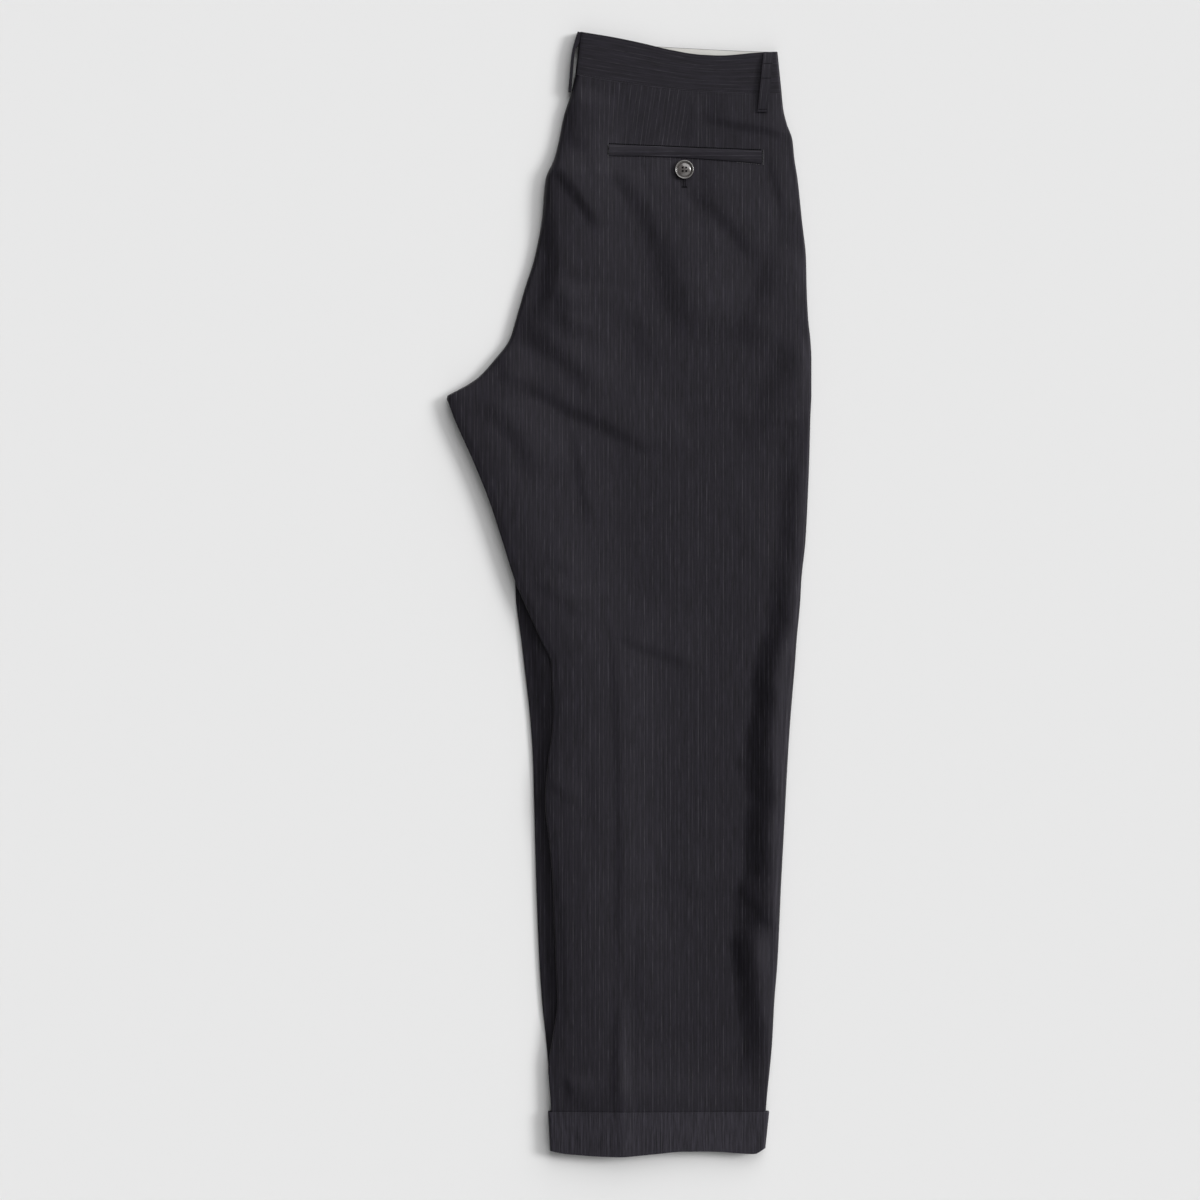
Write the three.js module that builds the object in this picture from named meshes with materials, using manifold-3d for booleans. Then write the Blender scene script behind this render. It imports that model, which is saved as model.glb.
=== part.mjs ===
// Pleated trousers folded in half along the centre seams, fronts inside, and laid flat on one side.
// Millimetres. +X points to the side seams, +Y to the waist, +Z up from the surface they lie on.
// Layers from the surface up: left back, left front, right front, right back.
import * as THREE from 'three';
import Module from 'manifold-3d';

// Driving dimensions
const garmentLength = 1060;
const cloth = 1.2;
const thinCloth = 1;
const seamGap = 0.3;
const turnUpDepth = 42;
const hemShort = 6;
const loopWidth = 9.5;
const loopWall = 1.6;
const weltLength = 144;
const buttonDiameter = 17.6;
const buttonThickness = 2.6;
const buttonHole = { diameter: 1.8, spread: 1.7, segments: 10, drillDepth: 10 };
const pleatDepth = 0.5;
const waistY = garmentLength / 2;
const hemDown = garmentLength - hemShort;

// Outline of the folded trousers. down is the distance below the waist's highest point, left and right
// bound the upper leg, under is the left edge of the lower leg, loft is how far the upper panel stands
// up in its middle, roll is the height of the unpressed roll along the side seam, and lift is how far
// the upper leg's left edge is puffed up.
const outline = table(['down', 'left', 'right', 'under', 'loft', 'roll', 'lift'], [
  [50, -50, 145, -50, 0, 0, 0],
  [66, -54, 146.5, -54, 0.6, 0, 1],
  [84, -61, 150, -61, 1.2, 0, 2],
  [101, -65, 155, -65, 1.8, 0.4, 2.4],
  [120, -70, 157, -70, 2.2, 0.8, 2],
  [139, -78, 160, -78, 2.4, 0.8, 1],
  [177, -81.5, 164, -81.5, 2.6, 0.8, 0],
  [215, -89, 168, -89, 2.6, 1, 0],
  [240, -97, 168.5, -97, 2.6, 1, 0],
  [271, -106, 170, -106, 2.6, 1.2, 0],
  [290, -112, 172, -112, 2.6, 1.4, 0],
  [309, -126, 173, -126, 2.6, 1.6, 1],
  [328, -144, 173, -144, 2.6, 1.8, 2.5],
  [344, -172, 173, -172, 2.6, 2, 3.5],
  [354, -168, 172.5, -168, 2.6, 2, 4],
  [366, -163.5, 172, -163.5, 2.6, 2, 4.5],
  [404, -146.5, 171, -146.5, 2.6, 2, 5],
  [441, -131.5, 169.5, -131.5, 2.4, 2.2, 5],
  [479, -119, 167.5, -119, 2.4, 2.6, 4.8],
  [517, -107, 163.5, -107, 2.4, 3.6, 4.2],
  [536, -99, 162.5, -106, 2.4, 4.6, 4],
  [574, -82, 159, -101, 2.4, 5.6, 3.4],
  [595, -73, 157.5, -98.5, 2.2, 6.2, 3],
  [649, -71, 153, -92.5, 2.2, 6.6, 2.6],
  [687, -75.5, 150.5, -90, 2.2, 6.8, 2.4],
  [725, -78.5, 148.5, -89, 2.2, 6.6, 2.2],
  [763, -74.5, 146.5, -88, 2.2, 6.4, 2.2],
  [800, -71.5, 144.5, -87, 2.2, 6.2, 2.2],
  [876, -68.5, 141, -84, 2.2, 5.4, 2],
  [914, -67, 138, -81.5, 2, 5, 1.6],
  [952, -72, 136, -77.5, 1.6, 3.4, 1],
  [976, -75.5, 134, -75.5, 1.2, 1.6, 0.4],
  [1000, -73.8, 131.4, -73.8, 0.4, 0.3, 0],
  [1012, -73, 130.4, -73, 0, 0, 0],
  [hemDown, -71.2, 127, -71.2, 0, 0, 0],
]);

// Height of the middle of each layer above the surface
const layers = table(['down', 'leftBack', 'leftFront', 'rightFront', 'rightBack'], [
  [50, 0.6, 3, 6.4, 10],
  [110, 0.6, 3, 6.4, 8.8],
  [330, 0.6, 3, 6.4, 8.8],
  [380, 0.6, 3.2, 5.8, 8.4],
  [976, 0.6, 3.2, 5.8, 8.4],
  [1010, 2.1, 3.9, 8.4, 10.2],
  [hemDown, 2.1, 3.9, 8.4, 10.2],
]);

// The waist seam rises towards the centre back in one bend, from side to centreBack
const waistSeam = { sideX: 146, sideDown: 58.5, centreX: -50, centreDown: 40.5, bend: 2.2 };

// The waistband's upper edges, as the distance down at each x
const backWaistEdge = table(['x', 'down'], [
  [-46, 0], [-12, 5.7], [15, 11.4], [39, 17.1], [68, 21.8], [87, 22.6], [123, 19.8], [141, 19],
]);
const frontWaistEdge = table(['x', 'down'], [[-46, 4], [21, 13.2], [68, 16], [106, 17.9], [141, 19]]);
const bandEnds = { topLeft: -45.4, topRight: 141, seamLeft: -50, seamRight: 145 };
const bandHeights = { leftBack: 0.6, leftFront: 3, rightFront: 6.4, rightBack: 10.1 };

// Lower edge of the turn-ups
const turnUpEdge = table(['x', 'down'], [
  [-74, 1054.6], [-58, 1057.5], [-9, 1060], [23, 1057.5], [53, 1055], [76, 1055], [119, 1057.5], [129, 1052],
]);
const turnUp = { left: -75.6, topRight: 133.2, bottomLeft: -73.8, bottomRight: 129.6 };

// The largest folds of the right back panel, from one end to the other. A ridge has a positive
// height and a trough a negative one, width is its half width and bow bends its line sideways.
const foldTable = table(['fromX', 'fromY', 'toX', 'toY', 'width', 'height', 'bow'], [
  [-30, 395, 62, 232, 17, 2.6, 8],
  [-52, 400, -22, 330, 9, 2.2, 0],
  [70, 380, 140, 300, 14, 2.2, -6],
  [-90, 205, 58, 128, 15, 2.6, -10],
  [-40, 235, 30, 170, 16, -1.6, 6],
  [-76, 40, -30, -40, 14, 1.8, 0],
  [-50, 152, -16, -60, 7, 1, -6],
  [-16, -60, -10, -430, 7, 1, 0],
  [20, 60, 70, -30, 20, -1.4, 0],
  [40, -260, 30, -400, 20, -1.2, 0],
]);

const backColour = 0x26252a;
const materials = {
  suiting: { color: backColour, roughness: 0.85, metalness: 0 },
  lining: { color: 0xcfcdc6, roughness: 0.8, metalness: 0 },
  button: { color: 0x17171a, roughness: 0.3, metalness: 0 },
};

// Rows of numbers as records with named columns
function table(columns, rows) {
  return rows.map((row) => Object.fromEntries(columns.map((name, i) => [name, row[i]])));
}

function mix(a, b, t) {
  return a + (b - a) * t;
}

function clamp01(t) {
  return Math.min(1, Math.max(0, t));
}

function smooth(t) {
  const s = clamp01(t);
  return s * s * (3 - 2 * s);
}

// One column of a table at a place between its rows, straight or eased
function lookUp(rows, key, column, at, ease = clamp01) {
  if (at <= rows[0][key]) return rows[0][column];
  for (let i = 1; i < rows.length; i += 1) {
    const before = rows[i - 1];
    const after = rows[i];
    if (at <= after[key]) {
      const t = (at - before[key]) / (after[key] - before[key]);
      return mix(before[column], after[column], ease(t));
    }
  }
  return rows[rows.length - 1][column];
}

function outlineAt(column, down) {
  return lookUp(outline, 'down', column, down);
}

function layerAt(layer, down) {
  return lookUp(layers, 'down', layer, down, smooth);
}

function seamAt(x) {
  const share = clamp01((waistSeam.sideX - x) / (waistSeam.sideX - waistSeam.centreX));
  return waistSeam.sideDown - (waistSeam.sideDown - waistSeam.centreDown) * share ** waistSeam.bend;
}

// The rows nearest the waist follow the seam's slant, which fades out over the hip
const seamMean = 50;
const seamFade = 60;

function slantedDown(x, down) {
  const slant = seamAt(x) - seamMean;
  return down + slant * (1 - smooth((down - seamMean) / seamFade));
}

// Height of one fold at a point: a soft ridge that dies away at both ends
const foldFade = 0.3;

function foldHeight(fold, x, y) {
  const along = new THREE.Vector2(fold.toX - fold.fromX, fold.toY - fold.fromY);
  const length = along.length();
  along.divideScalar(length);
  const offset = new THREE.Vector2(x - fold.fromX, y - fold.fromY);
  const t = offset.dot(along) / length;
  if (t <= 0 || t >= 1) return 0;
  const aside = offset.cross(along) - fold.bow * 4 * t * (1 - t);
  const fade = smooth(t / foldFade) * smooth((1 - t) / foldFade);
  return fold.height * fade * Math.exp(-((aside / fold.width) ** 2));
}

const rollCrest = 13;
const rollFall = 26;
const rollAtEdge = 0.5;
const domeReach = 34;
const hemFade = { from: 976, over: 30 };

function rollShape(fromEdge) {
  if (fromEdge < rollCrest) return mix(rollAtEdge, 1, smooth(fromEdge / rollCrest));
  return 1 - smooth((fromEdge - rollCrest) / rollFall);
}

// The puffed left edge, as a share of its lift at a distance inside it
const liftReach = 52;

function liftShape(fromLeft) {
  return 1 - smooth(fromLeft / liftReach);
}

// How far the right back panel's middle surface stands above its layer height
function backRise(x, down) {
  const fromLeft = x - outlineAt('left', down);
  const fromRight = outlineAt('right', down) - x;
  const dome = smooth(fromLeft / domeReach) * smooth(fromRight / domeReach);
  const folds = foldTable.reduce((sum, fold) => sum + foldHeight(fold, x, waistY - down), 0);
  const hem = 1 - smooth((down - hemFade.from) / hemFade.over);
  const lowest = -outlineAt('loft', down) * dome;
  const middle = Math.max(lowest, folds * dome * hem) - lowest;
  const roll = outlineAt('roll', down) * rollShape(fromRight);
  const lift = outlineAt('lift', down) * liftShape(fromLeft);
  return middle + roll + lift;
}

// The right front lifts a little under the side roll and follows the puffed edge
const underRoll = { share: 0.4, rise: 8, crest: 12, fall: 20 };

function rightFrontRise(x, down) {
  const fromRight = outlineAt('right', down) - x;
  const fromLeft = x - outlineAt('left', down);
  const falling = 1 - smooth((fromRight - underRoll.crest) / underRoll.fall);
  const roll = underRoll.share * outlineAt('roll', down) * smooth(fromRight / underRoll.rise) * falling;
  return roll + outlineAt('lift', down) * liftShape(fromLeft);
}

// The lower leg's upper layer is puffed up by half as much, and its lower layer lies flat
const underLegShare = 0.5;

function leftFrontRise(x, down) {
  return underLegShare * outlineAt('lift', down) * liftShape(x - outlineAt('under', down));
}

const noRise = () => 0;

// A closed wall round a grid of middle points. pointAt(i, j) also answers one step outside the grid,
// where it gives the slope at the edge. The two faces may stand off by different amounts.
function wall({ columns, rows, pointAt, above, below, ring = false }) {
  const faces = [[], []];
  for (let j = 0; j < rows; j += 1) {
    for (let i = 0; i < columns; i += 1) {
      const middle = pointAt(i, j);
      const across = pointAt(i + 1, j).sub(pointAt(i - 1, j));
      const down = pointAt(i, j + 1).sub(pointAt(i, j - 1));
      const normal = down.cross(across).normalize();
      faces[0].push(middle.clone().addScaledVector(normal, above(i, j)));
      faces[1].push(middle.clone().addScaledVector(normal, -below(i, j)));
    }
  }
  const points = faces.flat();
  const index = [];
  const at = (side, i, j) => side * columns * rows + j * columns + (i % columns);
  const quad = (a, b, c, d) => index.push(a, b, c, a, c, d);
  const lastColumn = ring ? columns : columns - 1;
  for (let j = 0; j < rows - 1; j += 1) {
    for (let i = 0; i < lastColumn; i += 1) {
      quad(at(0, i, j), at(0, i, j + 1), at(0, i + 1, j + 1), at(0, i + 1, j));
      quad(at(1, i, j), at(1, i + 1, j), at(1, i + 1, j + 1), at(1, i, j + 1));
    }
    if (!ring) {
      quad(at(0, 0, j), at(1, 0, j), at(1, 0, j + 1), at(0, 0, j + 1));
      quad(at(0, columns - 1, j), at(0, columns - 1, j + 1), at(1, columns - 1, j + 1), at(1, columns - 1, j));
    }
  }
  for (let i = 0; i < lastColumn; i += 1) {
    quad(at(0, i, 0), at(0, i + 1, 0), at(1, i + 1, 0), at(1, i, 0));
    quad(at(0, i, rows - 1), at(1, i, rows - 1), at(1, i + 1, rows - 1), at(0, i + 1, rows - 1));
  }
  const geometry = new THREE.BufferGeometry();
  const places = points.flatMap((p) => p.toArray());
  geometry.setAttribute('position', new THREE.Float32BufferAttribute(places, 3));
  geometry.setIndex(signedVolume(points, index) < 0 ? index.reverse() : index);
  geometry.computeVertexNormals();
  return geometry;
}

function signedVolume(points, index) {
  let volume = 0;
  for (let k = 0; k < index.length; k += 3) {
    const [a, b, c] = [points[index[k]], points[index[k + 1]], points[index[k + 2]]];
    volume += a.dot(b.clone().cross(c)) / 6;
  }
  return volume;
}

const leastBend = 0.75;
const leastTurn = 0.01;

// The edge of a panel that turns by part of a right angle to meet its neighbour at a seam. It gives
// the way out and the way down at t, from 0 where the panel is flat to 1 at its cut edge.
function curl(drop, turn) {
  const arc = Math.max(Math.abs(drop), leastBend) * Math.PI / 2;
  const angle = turn * Math.PI / 2;
  const flat = angle < leastTurn;
  return {
    out: (t) => (flat ? arc * t : (arc * Math.sin(t * angle)) / angle),
    down: (t) => (flat ? 0 : (Math.sign(drop) * arc * (1 - Math.cos(t * angle))) / angle),
  };
}

// Middle points across one row of a panel: a curled edge, the flat, and the other curled edge
function rowAcross(row, flatShares, arcSteps, k) {
  const leftCurl = curl(row.leftDrop, row.leftTurn);
  const rightCurl = curl(row.rightDrop, 1);
  const left = row.left + row.leftTurn * cloth / 2 + leftCurl.out(1);
  const right = row.right - cloth / 2 - rightCurl.out(1);
  const leftHeight = row.height(left);
  const rightHeight = row.height(right);
  if (k < arcSteps) {
    const t = (arcSteps - k) / arcSteps;
    return { x: left - leftCurl.out(t), z: leftHeight - leftCurl.down(t) };
  }
  const flatLast = arcSteps + flatShares.length - 1;
  if (k > flatLast) {
    const t = (k - flatLast) / arcSteps;
    return { x: right + rightCurl.out(t), z: rightHeight - rightCurl.down(t) };
  }
  const x = mix(left, right, flatShares[k - arcSteps]);
  return { x, z: row.height(x) };
}

// The height at which an edge stops, just short of the seam midway to its neighbour
function stopBy(own, neighbour) {
  return (own + neighbour) / 2 + (Math.sign(own - neighbour) * seamGap) / 2;
}

// How far an edge turns down, or up if it is negative, from where its panel stops being flat
function dropAt(height, edgeX, inward, stop) {
  let drop = height(edgeX) - stop;
  for (let k = 0; k < 4; k += 1) {
    drop = height(edgeX + inward * (cloth / 2 + Math.max(Math.abs(drop), leastBend))) - stop;
  }
  return drop;
}

const crotchDown = 344;
const legSeamDown = 354;
const inseamDown = 366;
const flatEdge = 16;
const frontInset = 10;

// Each panel's neighbours at the leg seams and at the centre seam, and how its edges run. Above the
// crotch the backs meet at the centre back round the fronts, and below it each back meets its front.
const panels = {
  right_back: {
    layer: 'rightBack', legMate: 'right_front', seatMate: 'left_back', edge: 'left', rise: backRise,
  },
  right_front: {
    layer: 'rightFront', legMate: 'right_back', seatMate: 'left_front', edge: 'left', rise: rightFrontRise,
  },
  left_front: {
    layer: 'leftFront', legMate: 'left_back', seatMate: 'right_front', edge: 'under', rise: leftFrontRise,
  },
  left_back: {
    layer: 'leftBack', legMate: 'left_front', seatMate: 'right_back', edge: 'under', rise: noRise,
  },
};
const lowerLegInset = 1.5;

function heightOf(name, x, down) {
  const panel = panels[name];
  return layerAt(panel.layer, down) + panel.rise(x, down);
}

function panelRow(name, down) {
  const panel = panels[name];
  const outerLeft = outlineAt(panel.edge, down);
  const right = outlineAt('right', down) - (panel.edge === 'under' ? lowerLegInset : 0);
  const height = (x) => heightOf(name, x, down);
  const stop = (mate, x) => stopBy(height(x), heightOf(mate, x, down));
  const seat = stop(panel.seatMate, outerLeft);
  const leg = stop(panel.legMate, outerLeft);
  const row = { left: outerLeft, right, leftTurn: 1, height };
  row.rightDrop = dropAt(height, right, -1, stop(panel.legMate, right));
  if (name.endsWith('front')) {
    const inseam = clamp01((down - legSeamDown) / (inseamDown - legSeamDown));
    const centre = clamp01((crotchDown - down) / flatEdge);
    row.left += frontInset * (1 - inseam);
    row.leftTurn = Math.max(inseam, centre);
    row.leftDrop = dropAt(height, row.left, 1, down < legSeamDown ? seat : leg);
  } else {
    const share = clamp01((down - crotchDown) / (legSeamDown - crotchDown));
    row.leftDrop = dropAt(height, row.left, 1, mix(seat, leg, share));
  }
  return row;
}

// Rows of the outline table, with more between them where they are far apart
function stations(widest) {
  const downs = [outline[0].down];
  for (let i = 1; i < outline.length; i += 1) {
    const before = outline[i - 1].down;
    const step = outline[i].down - before;
    const parts = Math.ceil(step / widest);
    for (let k = 1; k <= parts; k += 1) downs.push(before + (step * k) / parts);
  }
  return downs;
}

function panelPoint(name, downs, shares, arcSteps, i, j) {
  const inside = Math.min(downs.length - 1, Math.max(0, j));
  const row = panelRow(name, downs[inside]);
  const { x, z } = rowAcross(row, shares, arcSteps, i);
  const down = slantedDown(x, downs[inside]) + seamGap / 2;
  return new THREE.Vector3(x, waistY - down - (j - inside), z);
}

const even = (count) => Array.from({ length: count }, (unused, i) => i / (count - 1));

// Two knife pleats to each front, as shares of its width: each rises slowly to its folded edge and
// ends sharply. The first runs on into the front crease, the second dies out above the hip.
const pleats = [{ fold: 0.46, width: 0.11, length: 190 }, { fold: 0.7, width: 0.1, length: 95 }];
const pleatEdge = 0.012;
const rounding = 1e-4;
const pleatShares = pleats.flatMap((p) => [p.fold - p.width, p.fold, p.fold + pleatEdge]);
const sharesBesidePleats = [0, 0.12, 0.24, 0.85, 1];
const frontShares = [...sharesBesidePleats, ...pleatShares].sort((a, b) => a - b);

function pleatRise(share, down) {
  return pleats.reduce((sum, pleat) => {
    const across = (share - pleat.fold + pleat.width) / pleat.width;
    const along = 1 - smooth((down - seamMean) / pleat.length);
    const inside = across > 0 && across <= 1 + rounding;
    return sum + (inside ? pleatDepth * across * along : 0);
  }, 0);
}

// The panel on top has the finer grid
const topGrid = { columns: 19, widestStep: 26, arcSteps: 3 };
const hiddenGrid = { columns: 11, widestStep: 90, arcSteps: 2 };

function panelGeometry(name) {
  const grid = name === 'right_back' ? topGrid : hiddenGrid;
  const { arcSteps } = grid;
  const shares = name.endsWith('front') ? frontShares : even(grid.columns);
  const downs = stations(grid.widestStep);
  const half = cloth / 2;
  const share = (i) => shares[i - arcSteps] ?? -1;
  const withPleats = (i, j) => half + (share(i) < 0 ? 0 : pleatRise(share(i), downs[j]));
  const plain = () => half;
  return wall({
    columns: shares.length + 2 * arcSteps,
    rows: downs.length,
    pointAt: (i, j) => panelPoint(name, downs, shares, arcSteps, i, j),
    above: name === 'left_front' ? withPleats : plain,
    below: name === 'right_front' ? withPleats : plain,
  });
}

// Upper face of the right back panel, where the pocket and the side loop lie
function upperFace(x, y) {
  const down = waistY - y;
  return layerAt('rightBack', down) + backRise(x, down) + cloth / 2;
}

// Each half of the waistband runs from the centre back along the back, round the side and along the
// front, inside the other half's back. Its top edge and its seam edge are slanted and bowed.
const bandRows = 4;
const bandFlat = 10;
const bandFold = 4;
const bandArc = 3;
const bandFrontInset = 11;

function bandPoint(backZ, frontZ, mateZ, i, j) {
  const share = j / (bandRows - 1);
  const left = mix(bandEnds.topLeft, bandEnds.seamLeft, share);
  const right = mix(bandEnds.topRight, bandEnds.seamRight, share);
  const end = curl(backZ - stopBy(backZ, mateZ), 1);
  const radius = (backZ - frontZ) / 2;
  const flatLeft = left + cloth / 2 + end.out(1);
  const flatRight = right - cloth / 2 - Math.abs(radius);
  const foldAt = bandArc + bandFlat;
  const frontAt = foldAt + bandFold;
  const last = frontAt + bandFlat - 2;
  let x;
  let z;
  let front = 0;
  if (i < bandArc) {
    const t = (bandArc - i) / bandArc;
    x = flatLeft - end.out(t);
    z = backZ - end.down(t);
  } else if (i < foldAt) {
    x = mix(flatLeft, flatRight, (i - bandArc) / (bandFlat - 1));
    z = backZ;
  } else if (i < frontAt) {
    const angle = (Math.PI * (i - foldAt + 1)) / bandFold;
    x = flatRight + Math.abs(radius) * Math.sin(angle);
    z = frontZ + radius * (1 + Math.cos(angle));
    front = (i - foldAt + 1) / bandFold;
  } else {
    x = mix(flatRight, left + bandFrontInset, (i - frontAt + 1) / (last - frontAt + 1));
    z = frontZ;
    front = 1;
  }
  const top = mix(lookUp(backWaistEdge, 'x', 'down', x), lookUp(frontWaistEdge, 'x', 'down', x), front);
  const seam = seamAt(x) - seamGap / 2;
  return new THREE.Vector3(x, waistY - mix(top, seam, share), z);
}

function bandGeometry(side) {
  const other = side === 'right' ? 'left' : 'right';
  const backZ = bandHeights[`${side}Back`];
  const frontZ = bandHeights[`${side}Front`];
  const mateZ = bandHeights[`${other}Back`];
  return wall({
    columns: bandArc + bandFlat + bandFold + bandFlat - 1,
    rows: bandRows,
    pointAt: (i, j) => bandPoint(backZ, frontZ, mateZ, i, j),
    above: () => cloth / 2,
    below: () => cloth / 2,
  });
}

// The lining lies on the inner face of the right front waistband, just below its top edge
const lining = { left: -20, right: 134, topGap: 1.6, depth: 30, columns: 10, rows: 4 };

function liningPoint(i, j) {
  const x = mix(lining.left, lining.right, i / (lining.columns - 1));
  const top = lookUp(frontWaistEdge, 'x', 'down', x) + lining.topGap;
  const down = top + (lining.depth * j) / (lining.rows - 1);
  const z = bandHeights.rightFront + cloth / 2 + seamGap + thinCloth / 2;
  return new THREE.Vector3(x, waistY - down, z);
}

function liningGeometry() {
  const half = () => thinCloth / 2;
  return wall({ columns: lining.columns, rows: lining.rows, pointAt: liningPoint, above: half, below: half });
}

// The fly's facing lies between the two fronts, beside their centre edge
const fly = { top: 66, bottom: 236, near: 16, far: 50, columns: 4, rows: 12 };

function flyPoint(i, j) {
  const down = mix(fly.top, fly.bottom, j / (fly.rows - 1));
  const x = outlineAt('left', down) + mix(fly.near, fly.far, i / (fly.columns - 1));
  const z = (heightOf('left_front', x, down) + heightOf('right_front', x, down)) / 2;
  return new THREE.Vector3(x, waistY - slantedDown(x, down), z);
}

function flyGeometry() {
  const half = () => thinCloth / 2;
  return wall({ columns: fly.columns, rows: fly.rows, pointAt: flyPoint, above: half, below: half });
}

// The centre-back loop stands on edge beside the fold. It leaves the waist's corner, stands off the
// waistband and comes back to the panel below the seam.
const centreLoop = { low: 0.3, steps: 10 };
const centreLoopPath = table(['down', 'x'], [
  [0.6, -46.6], [8.5, -49.2], [20.8, -52.2], [29.3, -53.2], [39.7, -54], [48.2, -54.8], [56, -55.4],
]);

function centreLoopPoint(i, j) {
  const first = centreLoopPath[0].down;
  const last = centreLoopPath[centreLoopPath.length - 1].down;
  const down = mix(first, last, j / centreLoop.steps);
  const x = lookUp(centreLoopPath, 'down', 'x', down);
  return new THREE.Vector3(x, waistY - down, centreLoop.low + loopWidth * i);
}

function centreLoopGeometry() {
  const half = () => loopWall / 2;
  return wall({ columns: 2, rows: centreLoop.steps + 1, pointAt: centreLoopPoint, above: half, below: half });
}

// The side loop lies over the waistband and the top of the right back panel
const sideLoop = {
  topX: 134, topY: 509.5, bottomX: 128, bottomY: 454,
  bow: 2.2, bowPower: 0.8, belowSeam: 4, columns: 3, steps: 10,
};

function sideLoopPoint(i, j) {
  const share = j / sideLoop.steps;
  const x = mix(sideLoop.topX, sideLoop.bottomX, share) + loopWidth * (i / (sideLoop.columns - 1) - 0.5);
  const y = mix(sideLoop.topY, sideLoop.bottomY, share);
  const band = bandHeights.rightBack + cloth / 2;
  const onPanel = Math.max(upperFace(x, y), band);
  const face = waistY - y < seamAt(x) + sideLoop.belowSeam ? band : mix(band, onPanel, share);
  const bow = sideLoop.bow * Math.sin(Math.PI * clamp01(share)) ** sideLoop.bowPower;
  return new THREE.Vector3(x, y, face + seamGap + loopWall / 2 + bow);
}

function sideLoopGeometry() {
  const half = () => loopWall / 2;
  const { columns, steps } = sideLoop;
  return wall({ columns, rows: steps + 1, pointAt: sideLoopPoint, above: half, below: half });
}

// The welt is made from the panel's own points, moved out
const welt = { left: -18, top: 423.4, topFall: 5.7, bottom: 413, bottomFall: 7.6, columns: 15, rows: 3 };

function weltPoint(i, j) {
  const share = i / (welt.columns - 1);
  const x = welt.left + weltLength * share;
  const top = welt.top - welt.topFall * share;
  const bottom = welt.bottom - welt.bottomFall * share * Math.abs(share);
  const y = mix(top, bottom, j / (welt.rows - 1));
  return new THREE.Vector3(x, y, upperFace(x, y) + seamGap + thinCloth / 2);
}

function weltGeometry() {
  const half = () => thinCloth / 2;
  return wall({ columns: welt.columns, rows: welt.rows, pointAt: weltPoint, above: half, below: half });
}

// A turn-up is a flattened ring round the end of its leg, with its two walls at these heights
const turnUpHeights = { left: { low: 0.6, high: 5.4 }, right: { low: 6.9, high: 11.7 } };
const turnUpFlat = 12;
const turnUpArc = 4;
const turnUpRows = 4;

function turnUpPoint({ low, high }, i, j) {
  const share = j / (turnUpRows - 1);
  const left = mix(turnUp.left, turnUp.bottomLeft, share);
  const right = mix(turnUp.topRight, turnUp.bottomRight, share);
  const radius = (high - low) / 2;
  const flatLeft = left + cloth / 2 + radius;
  const flatRight = right - cloth / 2 - radius;
  const side = turnUpFlat + turnUpArc;
  const k = ((i % (2 * side)) + 2 * side) % (2 * side);
  const lower = k >= side;
  const step = lower ? k - side : k;
  let x = mix(flatLeft, flatRight, Math.min(step, turnUpFlat) / turnUpFlat);
  let z = high;
  if (step > turnUpFlat) {
    const angle = (Math.PI * (step - turnUpFlat)) / turnUpArc;
    x = flatRight + radius * Math.sin(angle);
    z = low + radius * (1 + Math.cos(angle));
  }
  if (lower) {
    x = flatLeft + flatRight - x;
    z = low + high - z;
  }
  const bottom = lookUp(turnUpEdge, 'x', 'down', x);
  const top = garmentLength - turnUpDepth;
  return new THREE.Vector3(x, waistY - mix(top, bottom, share), z);
}

function turnUpGeometry(side) {
  return wall({
    columns: 2 * (turnUpFlat + turnUpArc),
    rows: turnUpRows,
    pointAt: (i, j) => turnUpPoint(turnUpHeights[side], i, j),
    above: () => cloth / 2,
    below: () => cloth / 2,
    ring: true,
  });
}

// Four-hole button with a raised rim round a dished face
const buttonPlace = { x: 53, y: 399.7 };
const radiusOf = buttonDiameter / 2;
const buttonProfile = [
  [0, 0], [radiusOf - 1.4, 0], [radiusOf, 0.9], [radiusOf, 1.8], [radiusOf - 0.6, buttonThickness],
  [radiusOf - 1.8, buttonThickness], [radiusOf - 2.8, 2], [radiusOf - 4, 1.6], [0, 1.6],
];
const buttonSegments = 32;
const pointsPerMm = 1e4;

function asManifold(wasm, geometry) {
  const plain = mergePositions(geometry);
  return new wasm.Manifold(new wasm.Mesh({ numProp: 3, ...plain }));
}

// Shared vertices and triangles of a geometry, by position alone, without the empty triangles
function mergePositions(geometry) {
  const position = geometry.getAttribute('position');
  const index = geometry.getIndex();
  const count = index ? index.count : position.count;
  const seen = new Map();
  const vertices = [];
  const triangles = [];
  const idOf = (v) => {
    const xyz = [position.getX(v), position.getY(v), position.getZ(v)];
    const key = xyz.map((value) => Math.round(value * pointsPerMm)).join();
    if (!seen.has(key)) {
      seen.set(key, vertices.length / 3);
      vertices.push(...xyz);
    }
    return seen.get(key);
  };
  for (let k = 0; k < count; k += 3) {
    const [a, b, c] = [0, 1, 2].map((n) => idOf(index ? index.getX(k + n) : k + n));
    if (a !== b && b !== c && c !== a) triangles.push(a, b, c);
  }
  return { vertProperties: new Float32Array(vertices), triVerts: new Uint32Array(triangles) };
}

function fromManifold(solid) {
  const mesh = solid.getMesh();
  const geometry = new THREE.BufferGeometry();
  geometry.setAttribute('position', new THREE.Float32BufferAttribute(mesh.vertProperties, 3));
  geometry.setIndex(Array.from(mesh.triVerts));
  geometry.computeVertexNormals();
  return geometry;
}

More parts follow.
